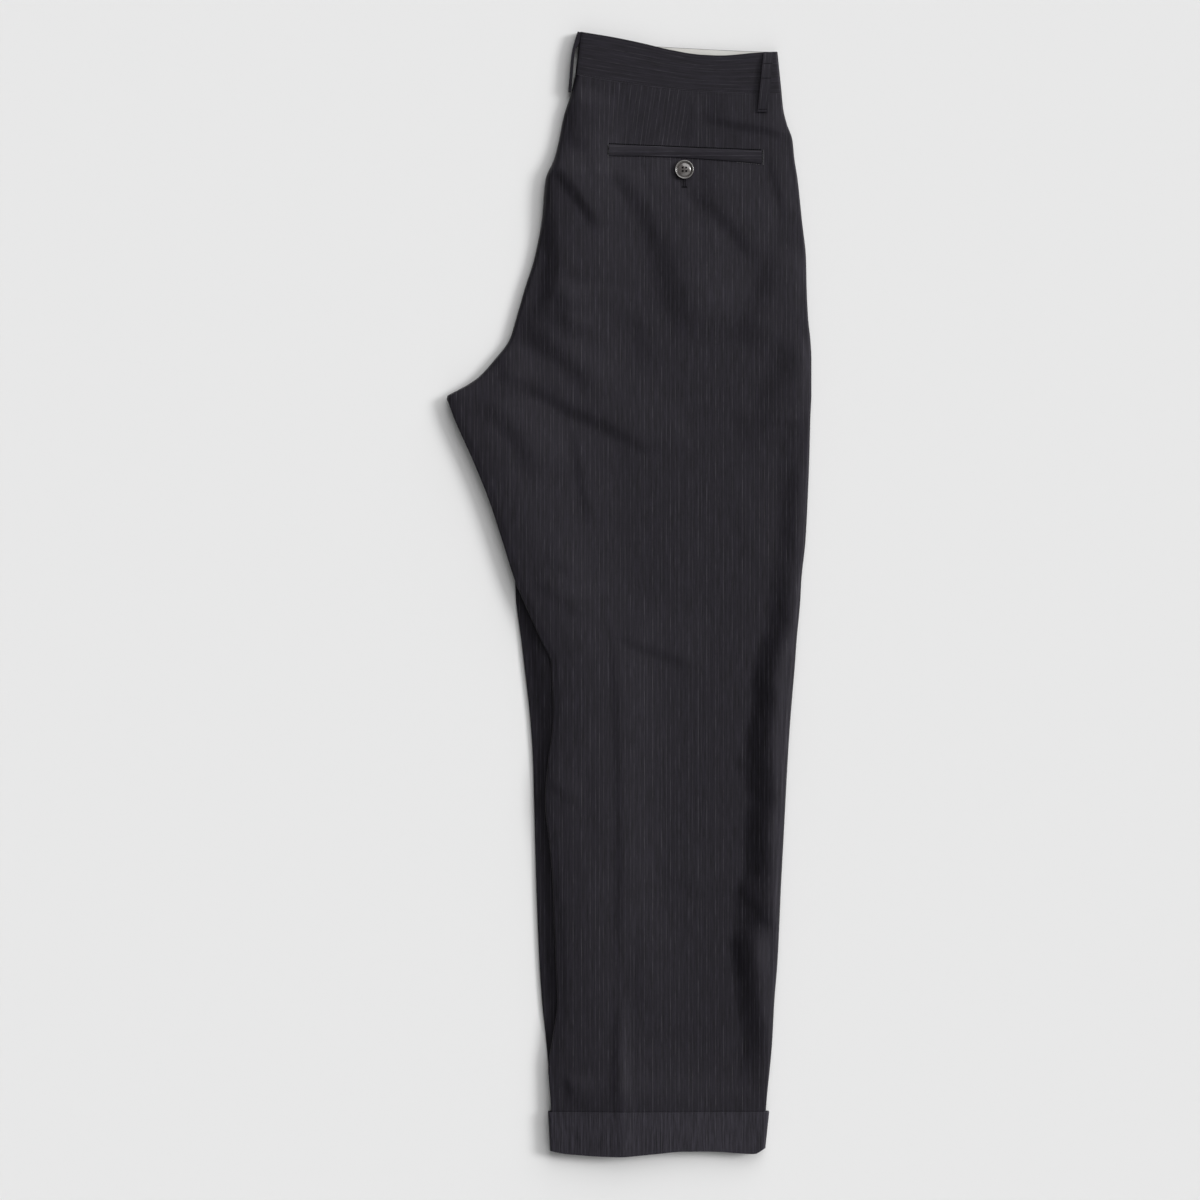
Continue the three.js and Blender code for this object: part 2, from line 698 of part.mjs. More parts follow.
function buttonGeometry(wasm) {
  const profile = buttonProfile.map(([r, z]) => new THREE.Vector2(r, z));
  const disc = new THREE.LatheGeometry(profile, buttonSegments).rotateX(Math.PI / 2);
  let solid = asManifold(wasm, disc);
  for (const [sx, sy] of [[1, 1], [1, -1], [-1, 1], [-1, -1]]) {
    const radius = buttonHole.diameter / 2;
    const drill = new THREE.CylinderGeometry(radius, radius, buttonHole.drillDepth, buttonHole.segments);
    drill.rotateX(Math.PI / 2).translate(sx * buttonHole.spread, sy * buttonHole.spread, 0);
    solid = solid.subtract(asManifold(wasm, drill));
  }
  return fromManifold(solid);
}

// The button rests just clear of the highest point of the cloth under it
const seat = { points: 16, inset: 1 };

function buttonSeat() {
  let highest = 0;
  const reach = radiusOf - seat.inset;
  for (let k = 0; k < seat.points; k += 1) {
    const angle = (2 * Math.PI * k) / seat.points;
    const x = buttonPlace.x + reach * Math.cos(angle);
    const y = buttonPlace.y + reach * Math.sin(angle);
    highest = Math.max(highest, upperFace(x, y));
  }
  return highest + seamGap;
}

const wasm = await Module();
wasm.setup();

const trousers = new THREE.Group();

function add(name, geometry, finish) {
  const mesh = new THREE.Mesh(geometry, new THREE.MeshStandardMaterial(materials[finish]));
  mesh.name = name;
  trousers.add(mesh);
  return mesh;
}

for (const name of Object.keys(panels)) add(name, panelGeometry(name), 'suiting');
add('waistband_right', bandGeometry('right'), 'suiting');
add('waistband_left', bandGeometry('left'), 'suiting');
add('waistband_lining', liningGeometry(), 'lining');
add('fly_placket', flyGeometry(), 'suiting');
add('belt_loop_centre_back', centreLoopGeometry(), 'suiting');
add('belt_loop_right_side', sideLoopGeometry(), 'suiting');
add('pocket_welt', weltGeometry(), 'suiting');
add('cuff_left', turnUpGeometry('left'), 'suiting');
add('cuff_right', turnUpGeometry('right'), 'suiting');
add('pocket_button', buttonGeometry(wasm), 'button').position.set(buttonPlace.x, buttonPlace.y, buttonSeat());

export default trousers;
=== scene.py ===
# Pleated trousers folded in half along the centre seams and laid flat: cloth, stitches and finish.
# Lengths are worked out in millimetres in the frame's own axes and turned into metres at the end.
import math

import bmesh
import bpy
import numpy as np
from mathutils import Matrix, Vector


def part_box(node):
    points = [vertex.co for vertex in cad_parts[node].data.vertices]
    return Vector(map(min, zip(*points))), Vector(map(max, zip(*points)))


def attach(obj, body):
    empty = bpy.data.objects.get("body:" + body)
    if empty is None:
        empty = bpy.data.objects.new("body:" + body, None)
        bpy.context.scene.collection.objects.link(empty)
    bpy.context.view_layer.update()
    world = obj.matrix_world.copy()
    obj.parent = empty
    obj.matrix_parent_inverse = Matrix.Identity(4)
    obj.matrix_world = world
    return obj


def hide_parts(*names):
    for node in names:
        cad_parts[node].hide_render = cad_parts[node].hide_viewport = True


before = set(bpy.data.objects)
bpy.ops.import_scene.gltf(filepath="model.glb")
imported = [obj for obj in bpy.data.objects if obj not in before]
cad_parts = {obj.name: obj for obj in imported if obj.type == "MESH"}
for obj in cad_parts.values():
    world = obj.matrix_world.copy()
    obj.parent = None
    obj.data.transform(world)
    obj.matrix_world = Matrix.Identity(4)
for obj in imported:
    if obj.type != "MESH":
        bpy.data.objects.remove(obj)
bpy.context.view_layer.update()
scene = bpy.context.scene
mm = 0.001
print("stage: frame loaded")

garment = {
    "length": 1060,
    "wall": 0.9,           # drawn thickness of one layer of cloth
    "clearWall": 1.2,      # thickness that the layers are spaced for
    "seamGap": 0.3,
    "leastBend": 0.75,
    "hemShort": 6,
    "turnUpDepth": 42,
    "frontInset": 10,
    "lowerLegInset": 1.5,
    "crotchDown": 344,
    "legSeamDown": 354,
    "inseamDown": 366,
    "flatEdge": 16,
}
waistY = garment["length"] / 2
hemDown = garment["length"] - garment["hemShort"]

# down is the distance below the waist's highest point; left, right and under are the edges of the
# upper leg and of the lower leg; loft, roll and lift are how far the cloth stands up in the middle,
# along the side seam and along the left edge.
outlineColumns = ("down", "left", "right", "under", "loft", "roll", "lift")
outlineRows = np.array([
    (50, -50, 145, -50, 0, 0, 0),
    (66, -54, 146.5, -54, 0.4, 0, 0.2),
    (84, -61, 150, -61, 1.0, 0, 0.4),
    (101, -65, 155, -65, 1.6, 0.4, 0.5),
    (120, -70, 157, -70, 2.2, 0.8, 0.5),
    (139, -78, 160, -78, 2.4, 0.8, 0.3),
    (177, -81.5, 164, -81.5, 2.6, 0.8, 0),
    (215, -89, 168, -89, 2.6, 1, 0),
    (240, -97, 168.5, -97, 2.6, 1, 0),
    (271, -106, 170, -106, 2.6, 1.2, 0),
    (290, -112, 172, -112, 2.6, 1.4, 0),
    (309, -126, 173, -126, 2.6, 1.6, 1),
    (328, -144, 173, -144, 2.6, 1.8, 2.5),
    (344, -172, 173, -172, 2.6, 2, 3.5),
    (354, -168, 172.5, -168, 2.6, 2, 4),
    (366, -163.5, 172, -163.5, 2.6, 2, 4.5),
    (404, -146.5, 171, -146.5, 2.6, 2, 5),
    (441, -131.5, 169.5, -131.5, 2.4, 2.2, 5),
    (479, -119, 167.5, -119, 2.4, 2.6, 4.8),
    (517, -107, 163.5, -107, 2.4, 4.6, 4.2),
    (536, -99, 162.5, -106, 2.4, 5.8, 4.4),
    (574, -82, 159, -101, 2.4, 7.6, 4.6),
    (595, -73, 157.5, -98.5, 2.2, 8.7, 4.6),
    (649, -71, 153, -92.5, 2.2, 9.6, 4.4),
    (687, -75.5, 150.5, -90, 2.2, 10, 4.2),
    (725, -78.5, 148.5, -89, 2.2, 9.6, 4),
    (763, -74.5, 146.5, -88, 2.2, 9.6, 4),
    (800, -71.5, 144.5, -87, 2.2, 9.4, 4),
    (876, -68.5, 141, -84, 2.2, 8.2, 3.8),
    (914, -67, 138, -81.5, 2, 7.4, 3.4),
    (952, -72, 136, -77.5, 1.6, 5.3, 2.6),
    (976, -75.5, 134, -75.5, 1.2, 2.8, 1.6),
    (1000, -73.8, 131.4, -73.8, 0.4, 0.5, 0.4),
    (1012, -73, 130.4, -73, 0, 0, 0),
    (hemDown, -71.2, 127, -71.2, 0, 0, 0),
], float)

# Height of each layer's middle surface down the leg
layerColumns = ("down", "leftBack", "leftFront", "rightFront", "rightBack")
layerRows = np.array([
    (50, 0.6, 3, 6.4, 10),
    (110, 0.6, 3, 6.4, 8.8),
    (330, 0.6, 3, 6.4, 8.8),
    (380, 0.6, 3.2, 5.8, 8.4),
    (976, 0.6, 3.2, 5.8, 8.4),
    (1010, 2.1, 3.9, 8.4, 10.2),
    (hemDown, 2.1, 3.9, 8.4, 10.2),
], float)

# The waist seam drops in a bend from the centre back to the side. The panels below it are slanted to
# meet it, with a slit between them and the band.
waistSeam = {"sideX": 146, "sideDown": 58.5, "centreX": -50, "centreDown": 40.5, "bend": 2.2}
seamMean = 50.0
seamSlit = 0.06
seamFade = 60.0

# Creases of the right back panel. Each follows the middle of its shaded side. The cloth
# rises towards the left of its path over twice the flank and sinks again over the reach.
creaseColumns = ("path", "height", "flank", "reach")
creaseRows = [
    ([(-80, 416), (-66, 395), (-51, 377), (-39, 360), (-27, 336)], 2.8, 5.0, 80),
    ([(-21, 404), (-2, 382), (13, 361), (22, 338), (29, 316)], 2.3, 9.5, 60),
    ([(20, 348), (31, 318), (40, 287), (50, 258), (54, 230)], 3.0, 16, 66),
    ([(50, 390), (68, 372), (85, 357), (99, 341), (112, 325), (130, 312)], 2.0, 8, 60),
    ([(136, 334), (133, 308), (125, 283), (112, 262), (97, 236)], 2.2, 11, 44),
    ([(150, 255), (146, 223), (134, 191), (127, 160), (136, 136)], 2.4, 14, 30),
    ([(163, 140), (153, 90), (150, 50), (153, 20)], 1.6, 9, 20),
    ([(66, 452), (106, 443), (127, 439), (156, 430)], 1.7, 3.2, 60),
    ([(-50, 474), (-52, 454), (-54, 436), (-60, 420)], 1.9, 5.0, 50),
    ([(-76, 440), (-80, 400), (-78, 368), (-75, 339), (-73, 316), (-75, 298), (-82, 276), (-92, 260)],
     4.4, 9, 100),
    ([(-62, 306), (-78, 280), (-93, 261), (-109, 244)], 1.8, 7, 60),
    ([(-66, 290), (-62, 264), (-56, 238)], 1.2, 7, 60),
    ([(-98, 243), (-68, 227), (-49, 208), (-24, 184)], 2.2, 9, 56),
    ([(-112, 203), (-78, 186), (-53, 171), (-26, 160), (4, 143), (26, 130)], 2.4, 6, 64),
    ([(-6, 141), (26, 137), (62, 145)], 0.8, 6, 50),
    ([(-152, 188), (-123, 166), (-106, 147), (-96, 127), (-94, 100)], 1.9, 10, 60),
    ([(-129, 225), (-117, 214), (-121, 200)], 1.2, 5, 30),
    ([(-53, 165), (-49, 127), (-43, 94), (-36, 56)], 1.0, 4, 40),
    ([(-25, 11), (-19, -17), (-15, -48), (-12, -100), (-10, -176), (-9, -251), (-11, -400)], 1.1, 4, 40),
    ([(-11, -370), (-12, -430), (-13, -470), (-13, -524)], 1.3, 3.6, 12),
    ([(-15, -40), (11, -51), (38, -60), (68, -74)], 1.2, 4.4, 50),
    ([(-93, 13), (-72, 0), (-55, -13), (-43, -26)], 0.9, 7, 40),
    ([(-82, 32), (-64, 26), (-45, 13)], 0.5, 5, 30),
    ([(-36, -143), (-34, -176), (-32, -214), (-26, -251)], 0.5, 8, 40),
    ([(21, -294), (11, -332), (9, -369), (13, -412)], 0.7, 8, 50),
    ([(26, -251), (44, -268), (68, -289)], 0.6, 8, 46),
    ([(98, -272), (110, -284), (124, -300), (140, -318)], 1.0, 5, 30),
    ([(100, -150), (112, -168), (118, -196)], 1.2, 5, 24),
    ([(96, -318), (104, -340), (110, -366)], 1.4, 6, 26),
    ([(-85, -186), (-72, -181), (-62, -189), (-55, -200)], 0.9, 3.4, 24),
    ([(-60, -450), (-56, -469), (-54, -500)], 1.8, 4, 26),
    ([(60, 480), (59, 450), (58, 424)], 0.4, 1.8, 10),
    ([(68, 368), (74, 339), (76, 314)], 0.5, 5, 36),
    ([(11, 415), (19, 396), (21, 376)], 0.5, 3.6, 30),
    ([(68, 410), (74, 389), (76, 372)], 0.5, 3.6, 30),
    ([(-38, 420), (-36, 404), (-32, 389)], 0.6, 3.6, 26),
    ([(132, 420), (136, 396), (144, 368), (147, 346)], 0.8, 3.6, 20),
    ([(101, 179), (108, 155), (113, 131)], 0.7, 8, 40),
    ([(101, 89), (108, 51), (113, 13)], 0.5, 10, 40),
    ([(8, 268), (11, 240), (19, 215)], 0.7, 8, 50),
]
creases = [dict(zip(creaseColumns, row)) for row in creaseRows]

# Down the leg: how far the roll's shaded flank lies from the side seam, and how wide it is
rollFlank = np.array([
    (50, 14, 25), (440, 14, 25), (507, 18, 25), (536, 16, 25), (574, 23, 25), (611, 29.5, 25),
    (630, 27, 25), (668, 29.5, 27), (706, 24.7, 27), (725, 23.7, 27), (744, 26.5, 27), (791, 24, 28),
    (812, 28, 38), (836, 25, 38), (857, 33, 26), (904, 27, 25), (961, 18, 25), (hemDown, 18, 25),
], float)


def mix(a, b, t):
    return a + (b - a) * t


def clamp01(t):
    return np.clip(t, 0.0, 1.0)


def smooth(t):
    s = clamp01(t)
    return s * s * (3 - 2 * s)


tiny = 1e-9


# Smooth ramps: rise goes from 0 to 1 over a stretch that begins at start, and fall from 1 to 0
def rise(value, start, over):
    return smooth((value - start) / over)


def fall(value, start, over):
    return 1 - smooth((value - start) / over)


# A smooth line through a table's points that never swings past them
def smoothLine(xs, ys, at):
    step = np.diff(xs)
    slope = np.diff(ys) / step
    tangent = np.zeros(len(xs))
    both = slope[:-1] * slope[1:]
    total = slope[:-1] + slope[1:]
    total = np.where(np.abs(total) < tiny, 1, total)
    tangent[1:-1] = np.where(both > 0, 2 * both / total, 0)
    tangent[0] = slope[0]
    tangent[-1] = slope[-1]
    i = np.clip(np.searchsorted(xs, at) - 1, 0, len(xs) - 2)
    t = clamp01((at - xs[i]) / step[i])
    start = (1 + 2 * t) * (1 - t) ** 2 * ys[i] + t * (1 - t) ** 2 * step[i] * tangent[i]
    end = t * t * (3 - 2 * t) * ys[i + 1] + t * t * (t - 1) * step[i] * tangent[i + 1]
    return start + end


def edgeLine(rows, at):
    return smoothLine(rows[:, 0], rows[:, 1], at)


# The outline keeps its sharp corner at the crotch
def outlineAt(column, down):
    ys = outlineRows[:, outlineColumns.index(column)]
    downs = outlineRows[:, 0]
    corner = int(np.searchsorted(downs, garment["crotchDown"]))
    if down <= downs[corner]:
        return float(smoothLine(downs[:corner + 1], ys[:corner + 1], down))
    return float(smoothLine(downs[corner:], ys[corner:], down))


def layerAt(layer, down):
    downs = layerRows[:, 0]
    heights = layerRows[:, layerColumns.index(layer)]
    i = int(np.clip(np.searchsorted(downs, down) - 1, 0, len(downs) - 2))
    t = (down - downs[i]) / (downs[i + 1] - downs[i])
    return float(mix(heights[i], heights[i + 1], smooth(t)))


def seamAt(x):
    share = clamp01((waistSeam["sideX"] - x) / (waistSeam["sideX"] - waistSeam["centreX"]))
    drop = waistSeam["sideDown"] - waistSeam["centreDown"]
    return waistSeam["sideDown"] - drop * share ** waistSeam["bend"]


def slantedDown(x, down):
    return down + (seamAt(x) - seamMean) * fall(down, seamMean, seamFade)


relief = {"left": -180, "bottom": -540, "pitch": 1.5, "columns": 240, "rows": 700, "fade": 0.3,
          "softening": 2}


def creaseHeight(crease, x, y):
    path = np.array(crease["path"], float)
    steps = np.diff(path, axis=0)
    lengths = np.hypot(steps[:, 0], steps[:, 1])
    starts = np.concatenate([[0], np.cumsum(lengths)])
    nearest = np.full(x.shape, np.inf)
    signed = np.zeros(x.shape)
    along = np.zeros(x.shape)
    for k, (dx, dy) in enumerate(steps):
        offX, offY = x - path[k, 0], y - path[k, 1]
        t = clamp01((offX * dx + offY * dy) / lengths[k] ** 2)
        away = np.hypot(offX - t * dx, offY - t * dy)
        side = (offY * dx - offX * dy) / lengths[k]
        closer = away < nearest
        nearest = np.where(closer, away, nearest)
        signed = np.where(closer, np.where(side >= 0, away, -away), signed)
        along = np.where(closer, (starts[k] + t * lengths[k]) / starts[-1], along)
    ends = smooth(along / relief["fade"]) * smooth((1 - along) / relief["fade"])
    flank = crease["flank"]
    rising = smooth((signed + flank) / (2 * flank))
    return crease["height"] * ends * rising * fall(signed, flank, crease["reach"])


# All the creases are summed once on a fine lattice, which the panel then reads
def buildRelief():
    xs = relief["left"] + relief["pitch"] * np.arange(relief["columns"])
    ys = relief["bottom"] + relief["pitch"] * np.arange(relief["rows"])
    x, y = np.meshgrid(xs, ys)
    total = x * 0
    for crease in creases:
        total += creaseHeight(crease, x, y)
    for _ in range(relief["softening"]):
        for axis in (0, 1):
            total = 0.5 * total + 0.25 * (np.roll(total, 1, axis) + np.roll(total, -1, axis))
    return total


reliefMap = buildRelief()


def reliefAt(x, y):
    u = (x - relief["left"]) / relief["pitch"]
    v = (y - relief["bottom"]) / relief["pitch"]
    i = np.clip(np.floor(u).astype(int), 0, relief["columns"] - 2)
    j = np.clip(np.floor(v).astype(int), 0, relief["rows"] - 2)
    a, b = u - i, v - j
    low = mix(reliefMap[j, i], reliefMap[j, i + 1], a)
    high = mix(reliefMap[j + 1, i], reliefMap[j + 1, i + 1], a)
    return mix(low, high, b)


# The roll along the side seam and the lift of the left edge: each rises to its crest and falls again
rollSizes = {"atEdge": 0.78, "leastCrest": 7, "flatAbove": 440, "flatOver": 110}
liftSizes = {"crest": 8, "lowCrest": 12, "lowFrom": 760, "lowOver": 90, "atEdge": 0.8,
             "lowAtEdge": 0.6, "reach": 115}


def rollShape(fromEdge, down):
    width = float(edgeLine(rollFlank[:, [0, 2]], down))
    crest = max(rollSizes["leastCrest"], float(edgeLine(rollFlank, down)) - width / 2)
    lower = rise(down, rollSizes["flatAbove"], rollSizes["flatOver"])
    rising = mix(mix(1, rollSizes["atEdge"], lower), 1, smooth(fromEdge / crest))
    return np.where(fromEdge < crest, rising, fall(fromEdge, crest, width))


def liftShape(fromLeft, down):
    low = rise(down, liftSizes["lowFrom"], liftSizes["lowOver"])
    crest = mix(liftSizes["crest"], liftSizes["lowCrest"], low)
    rising = mix(mix(liftSizes["atEdge"], liftSizes["lowAtEdge"], low), 1, smooth(fromLeft / crest))
    return np.where(fromLeft < crest, rising, fall(fromLeft, crest, liftSizes["reach"]))


# The right leg's back swells towards its crease at the hem, and the turn-up with it
hemSwell = {"left": -75, "crest": -6, "right": 125, "height": 3.4, "ridge": 0.9, "ridgeAt": -5,
            "ridgeWidth": 8, "from": 945, "over": 66}


def hemRise(x):
    rising = rise(x, hemSwell["left"], hemSwell["crest"] - hemSwell["left"])
    falling = fall(x, hemSwell["crest"], hemSwell["right"] - hemSwell["crest"])
    ridge = hemSwell["ridge"] * np.exp(-((x - hemSwell["ridgeAt"]) / hemSwell["ridgeWidth"]) ** 2)
    return hemSwell["height"] * rising * falling + ridge


# The upper panel's dome, and where its creases sink towards the edges and end above the turn-up
backSizes = {"dome": 34, "loftShare": 0.4, "edgeReach": 9, "edgeShare": 0.5,
             "endFrom": 990, "endOver": 24}
frontRoll = {"share": 0.4, "rise": 8, "fallFrom": 12, "fallOver": 20}


def backRise(x, down):
    fromLeft = x - outlineAt("left", down)
    fromRight = outlineAt("right", down) - x
    dome = smooth(fromLeft / backSizes["dome"]) * smooth(fromRight / backSizes["dome"])
    loft = outlineAt("loft", down) * dome
    nearLeft = mix(backSizes["edgeShare"], 1, smooth(fromLeft / backSizes["edgeReach"]))
    nearRight = mix(backSizes["edgeShare"], 1, smooth(fromRight / backSizes["edgeReach"]))
    end = fall(down, backSizes["endFrom"], backSizes["endOver"])
    creased = reliefAt(x, waistY - down) * (nearLeft * nearRight) * end
    roll = outlineAt("roll", down) * rollShape(fromRight, down)
    lift = outlineAt("lift", down) * liftShape(fromLeft, down)
    swell = hemRise(x) * rise(down, hemSwell["from"], hemSwell["over"])
    return loft * backSizes["loftShare"] + creased + (roll + lift) + swell


def rightFrontRise(x, down):
    fromRight = outlineAt("right", down) - x
    fromLeft = x - outlineAt("left", down)
    roll = frontRoll["share"] * outlineAt("roll", down) * smooth(fromRight / frontRoll["rise"])
    roll = roll * fall(fromRight, frontRoll["fallFrom"], frontRoll["fallOver"])
    return roll + outlineAt("lift", down) * liftShape(fromLeft, down)


# The lower leg's showing strip falls away to its edge
underLeg = {"share": 1.15, "flat": 2.5, "slope": 20, "fall": 60}


def leftFrontRise(x, down):
    fromLeft = x - outlineAt("under", down) - underLeg["flat"]
    strip = smooth(fromLeft / underLeg["slope"]) * fall(fromLeft, underLeg["slope"], underLeg["fall"])
    return underLeg["share"] * outlineAt("lift", down) * strip


def noRise(x, down):
    return x * 0.0


panelColumns = ("layer", "legMate", "seatMate", "edge", "rise", "columns", "rows")
panelRows = {
    "right_back": ("rightBack", "right_front", "left_back", "left", backRise, 140, 340),
    "right_front": ("rightFront", "right_back", "left_front", "left", rightFrontRise, 64, 200),
    "left_front": ("leftFront", "left_back", "right_front", "under", leftFrontRise, 72, 240),
    "left_back": ("leftBack", "left_front", "right_back", "under", noRise, 64, 200),
}
panels = {name: dict(zip(panelColumns, row)) for name, row in panelRows.items()}
pleats = [{"fold": 0.46, "width": 0.11, "length": 190.0}, {"fold": 0.7, "width": 0.1, "length": 95.0}]
pleatDepth = 0.5

# Each panel's edge curls down halfway to its neighbour. wayShare is a quarter turn's length over its radius.
curlSizes = {"columns": 8, "wayShare": 1.57, "leastTurn": 0.01, "rounds": 4}


def heightOf(name, x, down):
    panel = panels[name]
    return layerAt(panel["layer"], down) + panel["rise"](np.asarray(x, float), down)


def stopBy(own, neighbour):
    return (own + neighbour) / 2 + math.copysign(garment["seamGap"] / 2, own - neighbour)


def dropAt(name, down, edgeX, inward, stop):
    drop = heightOf(name, edgeX, down) - stop
    for _ in range(curlSizes["rounds"]):
        reach = garment["clearWall"] / 2 + max(abs(drop), garment["leastBend"])
        drop = float(heightOf(name, edgeX + inward * reach, down)) - stop
    return float(drop)


# Way out and way down along a curled edge, t from 0 where it is flat to 1 at the cut
def curl(drop, turn, t):
    arc = max(abs(drop), garment["leastBend"]) * math.pi / 2
    angle = turn * math.pi / 2
    if angle < curlSizes["leastTurn"]:
        return arc * t, 0 * t
    return arc * np.sin(t * angle) / angle, math.copysign(arc, drop) * (1 - np.cos(t * angle)) / angle


def pleatRise(share, down):
    total = share * 0.0
    for pleat in pleats:
        across = (share - pleat["fold"] + pleat["width"]) / pleat["width"]
        along = fall(down, seamMean, pleat["length"])
        total = total + np.where((across > 0) & (across <= 1), pleatDepth * across * along, 0)
    return total


# One row of a panel's middle surface, from its curled left edge to its curled right edge
def panelRow(name, down):
    panel = panels[name]
    isFront = name.endswith("front")
    left = outlineAt(panel["edge"], down)
    right = outlineAt("right", down) - (garment["lowerLegInset"] if panel["edge"] == "under" else 0)

    def stopAt(mate, x):
        return stopBy(float(heightOf(name, x, down)), float(heightOf(mate, x, down)))

    seat = stopAt(panel["seatMate"], left)
    leg = stopAt(panel["legMate"], left)
    rightDrop = dropAt(name, down, right, -1, stopAt(panel["legMate"], right))
    turn = 1.0
    if isFront:
        legSeam = garment["legSeamDown"]
        inseam = float(clamp01((down - legSeam) / (garment["inseamDown"] - legSeam)))
        centre = float(clamp01((garment["crotchDown"] - down) / garment["flatEdge"]))
        left += garment["frontInset"] * (1 - inseam)
        turn = max(inseam, centre)
        leftDrop = dropAt(name, down, left, 1, seat if down < legSeam else leg)
    else:
        crotch = garment["crotchDown"]
        share = float(clamp01((down - crotch) / (garment["legSeamDown"] - crotch)))
        leftDrop = dropAt(name, down, left, 1, mix(seat, leg, share))
    half = garment["clearWall"] / 2
    count = curlSizes["columns"]
    turning = np.linspace(1, 1 / count, count)
    flatLeft = left + turn * half + curl(leftDrop, turn, 1.0)[0]
    flatRight = right - half - curl(rightDrop, 1.0, 1.0)[0]
    shares = np.linspace(0, 1, panel["columns"] - 2 * count)
    flatX = mix(flatLeft, flatRight, shares)
    flatZ = heightOf(name, flatX, down)
    if isFront:
        side = 1 if name == "left_front" else -1
        flatZ = flatZ + side * pleatRise(shares, down)
    leftOut, leftDown = curl(leftDrop, turn, turning)
    rightOut, rightDown = curl(rightDrop, 1.0, turning[::-1])
    x = np.concatenate([flatLeft - leftOut, flatX, flatRight + rightOut])
    z = np.concatenate([flatZ[0] - leftDown, flatZ, flatZ[-1] - rightDown])
    wayLeft = flatLeft - turning * abs(leftDrop) * curlSizes["wayShare"]
    wayRight = flatRight + turning[::-1] * abs(rightDrop) * curlSizes["wayShare"]
    return x, z, np.concatenate([wayLeft, flatX, wayRight])


# Points closer than this are one, and edges sharper than this are shaded sharp
closeBy = {"ring": 0.01, "lathe": 0.005}
sharpEdge = {"wall": 50, "button": 40}


def pieceFrom(name, bm):
    mesh = bpy.data.meshes.new(name)
    bm.to_mesh(mesh)
    bm.free()
    for polygon in mesh.polygons:
        polygon.use_smooth = True
    piece = bpy.data.objects.new(name, mesh)
    scene.collection.objects.link(piece)
    return piece


# How far along a row of points each one lies
def wayAlong(x, z):
    return np.concatenate([[0], np.cumsum(np.hypot(np.diff(x), np.diff(z)))])


# A sheet of cloth that replaces a node. Each row gives x, y and z in millimetres, and the UV's two places
# after them, or else flat names the two columns that the UV takes. wallShare gives the wall's share at
# a distance below the waist.
def clothPiece(node, rows, wall, material, ring=False, flat=(0, 1), wallShare=None):
    grid = np.array([np.stack(np.broadcast_arrays(*row), 1) for row in rows])
    points = grid[:, :, :3]
    uvs = grid[:, :, 3:] if grid.shape[2] > 3 else grid[:, :, flat]
    high, wide = points.shape[:2]
    bm = bmesh.new()
    bmesh.ops.create_grid(bm, x_segments=wide - 1, y_segments=high - 1, size=1.0)
    uvLayer = bm.loops.layers.uv.new("cloth")
    places = {}
    for vert in bm.verts:
        i = round((vert.co.x + 1) / 2 * (wide - 1))
        j = round((1 - vert.co.y) / 2 * (high - 1))
        places[vert.index] = (j, i)
        vert.co = Vector(points[j, i]) * mm
    for face in bm.faces:
        for loop in face.loops:
            loop[uvLayer].uv = uvs[places[loop.vert.index]] * mm
    if ring:
        bmesh.ops.remove_doubles(bm, verts=bm.verts, dist=closeBy["ring"] * mm)
    piece = pieceFrom(node.replace("_", "-") + "-cloth", bm)
    solid = piece.modifiers.new("wall", "SOLIDIFY")
    solid.thickness = wall * mm
    solid.offset = 0
    solid.use_even_offset = True
    if wallShare:
        thick = piece.vertex_groups.new(name="thick")
        for vert in piece.data.vertices:
            thick.add([vert.index], wallShare(waistY - vert.co.y / mm), "REPLACE")
        solid.vertex_group = thick.name
    return finishPiece(piece, material, [node])


def applyModifiers(piece):
    bpy.context.view_layer.update()
    depsgraph = bpy.context.evaluated_depsgraph_get()
    mesh = bpy.data.meshes.new_from_object(piece.evaluated_get(depsgraph))
    piece.modifiers.clear()
    piece.data = mesh


# A wall becomes part of its mesh, and its cut edges are shaded sharp
def finishPiece(piece, material, replaced=()):
    if piece.modifiers:
        applyModifiers(piece)
        piece.data.set_sharp_from_angle(angle=math.radians(sharpEdge["wall"]))
    piece.data.materials.clear()
    piece.data.materials.append(material)
    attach(piece, "root")
    if replaced:
        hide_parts(*replaced)
    return piece


# Materials

# Sets each named input of a node to a number or a colour, or links it to another node's output
def feed(node, inputs):
    for label, value in inputs.items():
        if isinstance(value, (int, float, tuple)):
            node.inputs[label].default_value = value
        else:
            node.id_data.links.new(value, node.inputs[label])


def newNode(tree, kind, inputs, **settings):
    node = tree.nodes.new("ShaderNode" + kind)
    for label, value in settings.items():
        setattr(node, label, value)
    feed(node, inputs)
    return node


def newMaterial(name):
    material = bpy.data.materials.new(name)
    material.use_nodes = True
    tree = material.node_tree
    tree.nodes.clear()
    shader = newNode(tree, "BsdfPrincipled", {})
    newNode(tree, "OutputMaterial", {"Surface": shader.outputs["BSDF"]})
    return material, tree, shader


noiseRoughness = 0.6


def noiseNode(tree, vector, scale, detail):
    inputs = {"Scale": scale, "Detail": detail, "Roughness": noiseRoughness, "Vector": vector}
    return newNode(tree, "TexNoise", inputs).outputs["Fac"]


def rangeNode(tree, value, low, high, toLow, toHigh):
    inputs = {"Value": value, "From Min": low, "From Max": high, "To Min": toLow, "To Max": toHigh}
    return newNode(tree, "MapRange", inputs, interpolation_type="SMOOTHSTEP").outputs["Result"]


def mixNode(tree, factor, first, second, blend="MIX"):
    inputs = {"Factor": factor, "A": first, "B": second}
    return newNode(tree, "Mix", inputs, data_type="RGBA", blend_type=blend).outputs["Result"]


def bumpNode(tree, height, distance, strength):
    inputs = {"Height": height, "Distance": distance, "Strength": strength}
    return newNode(tree, "Bump", inputs).outputs["Normal"]


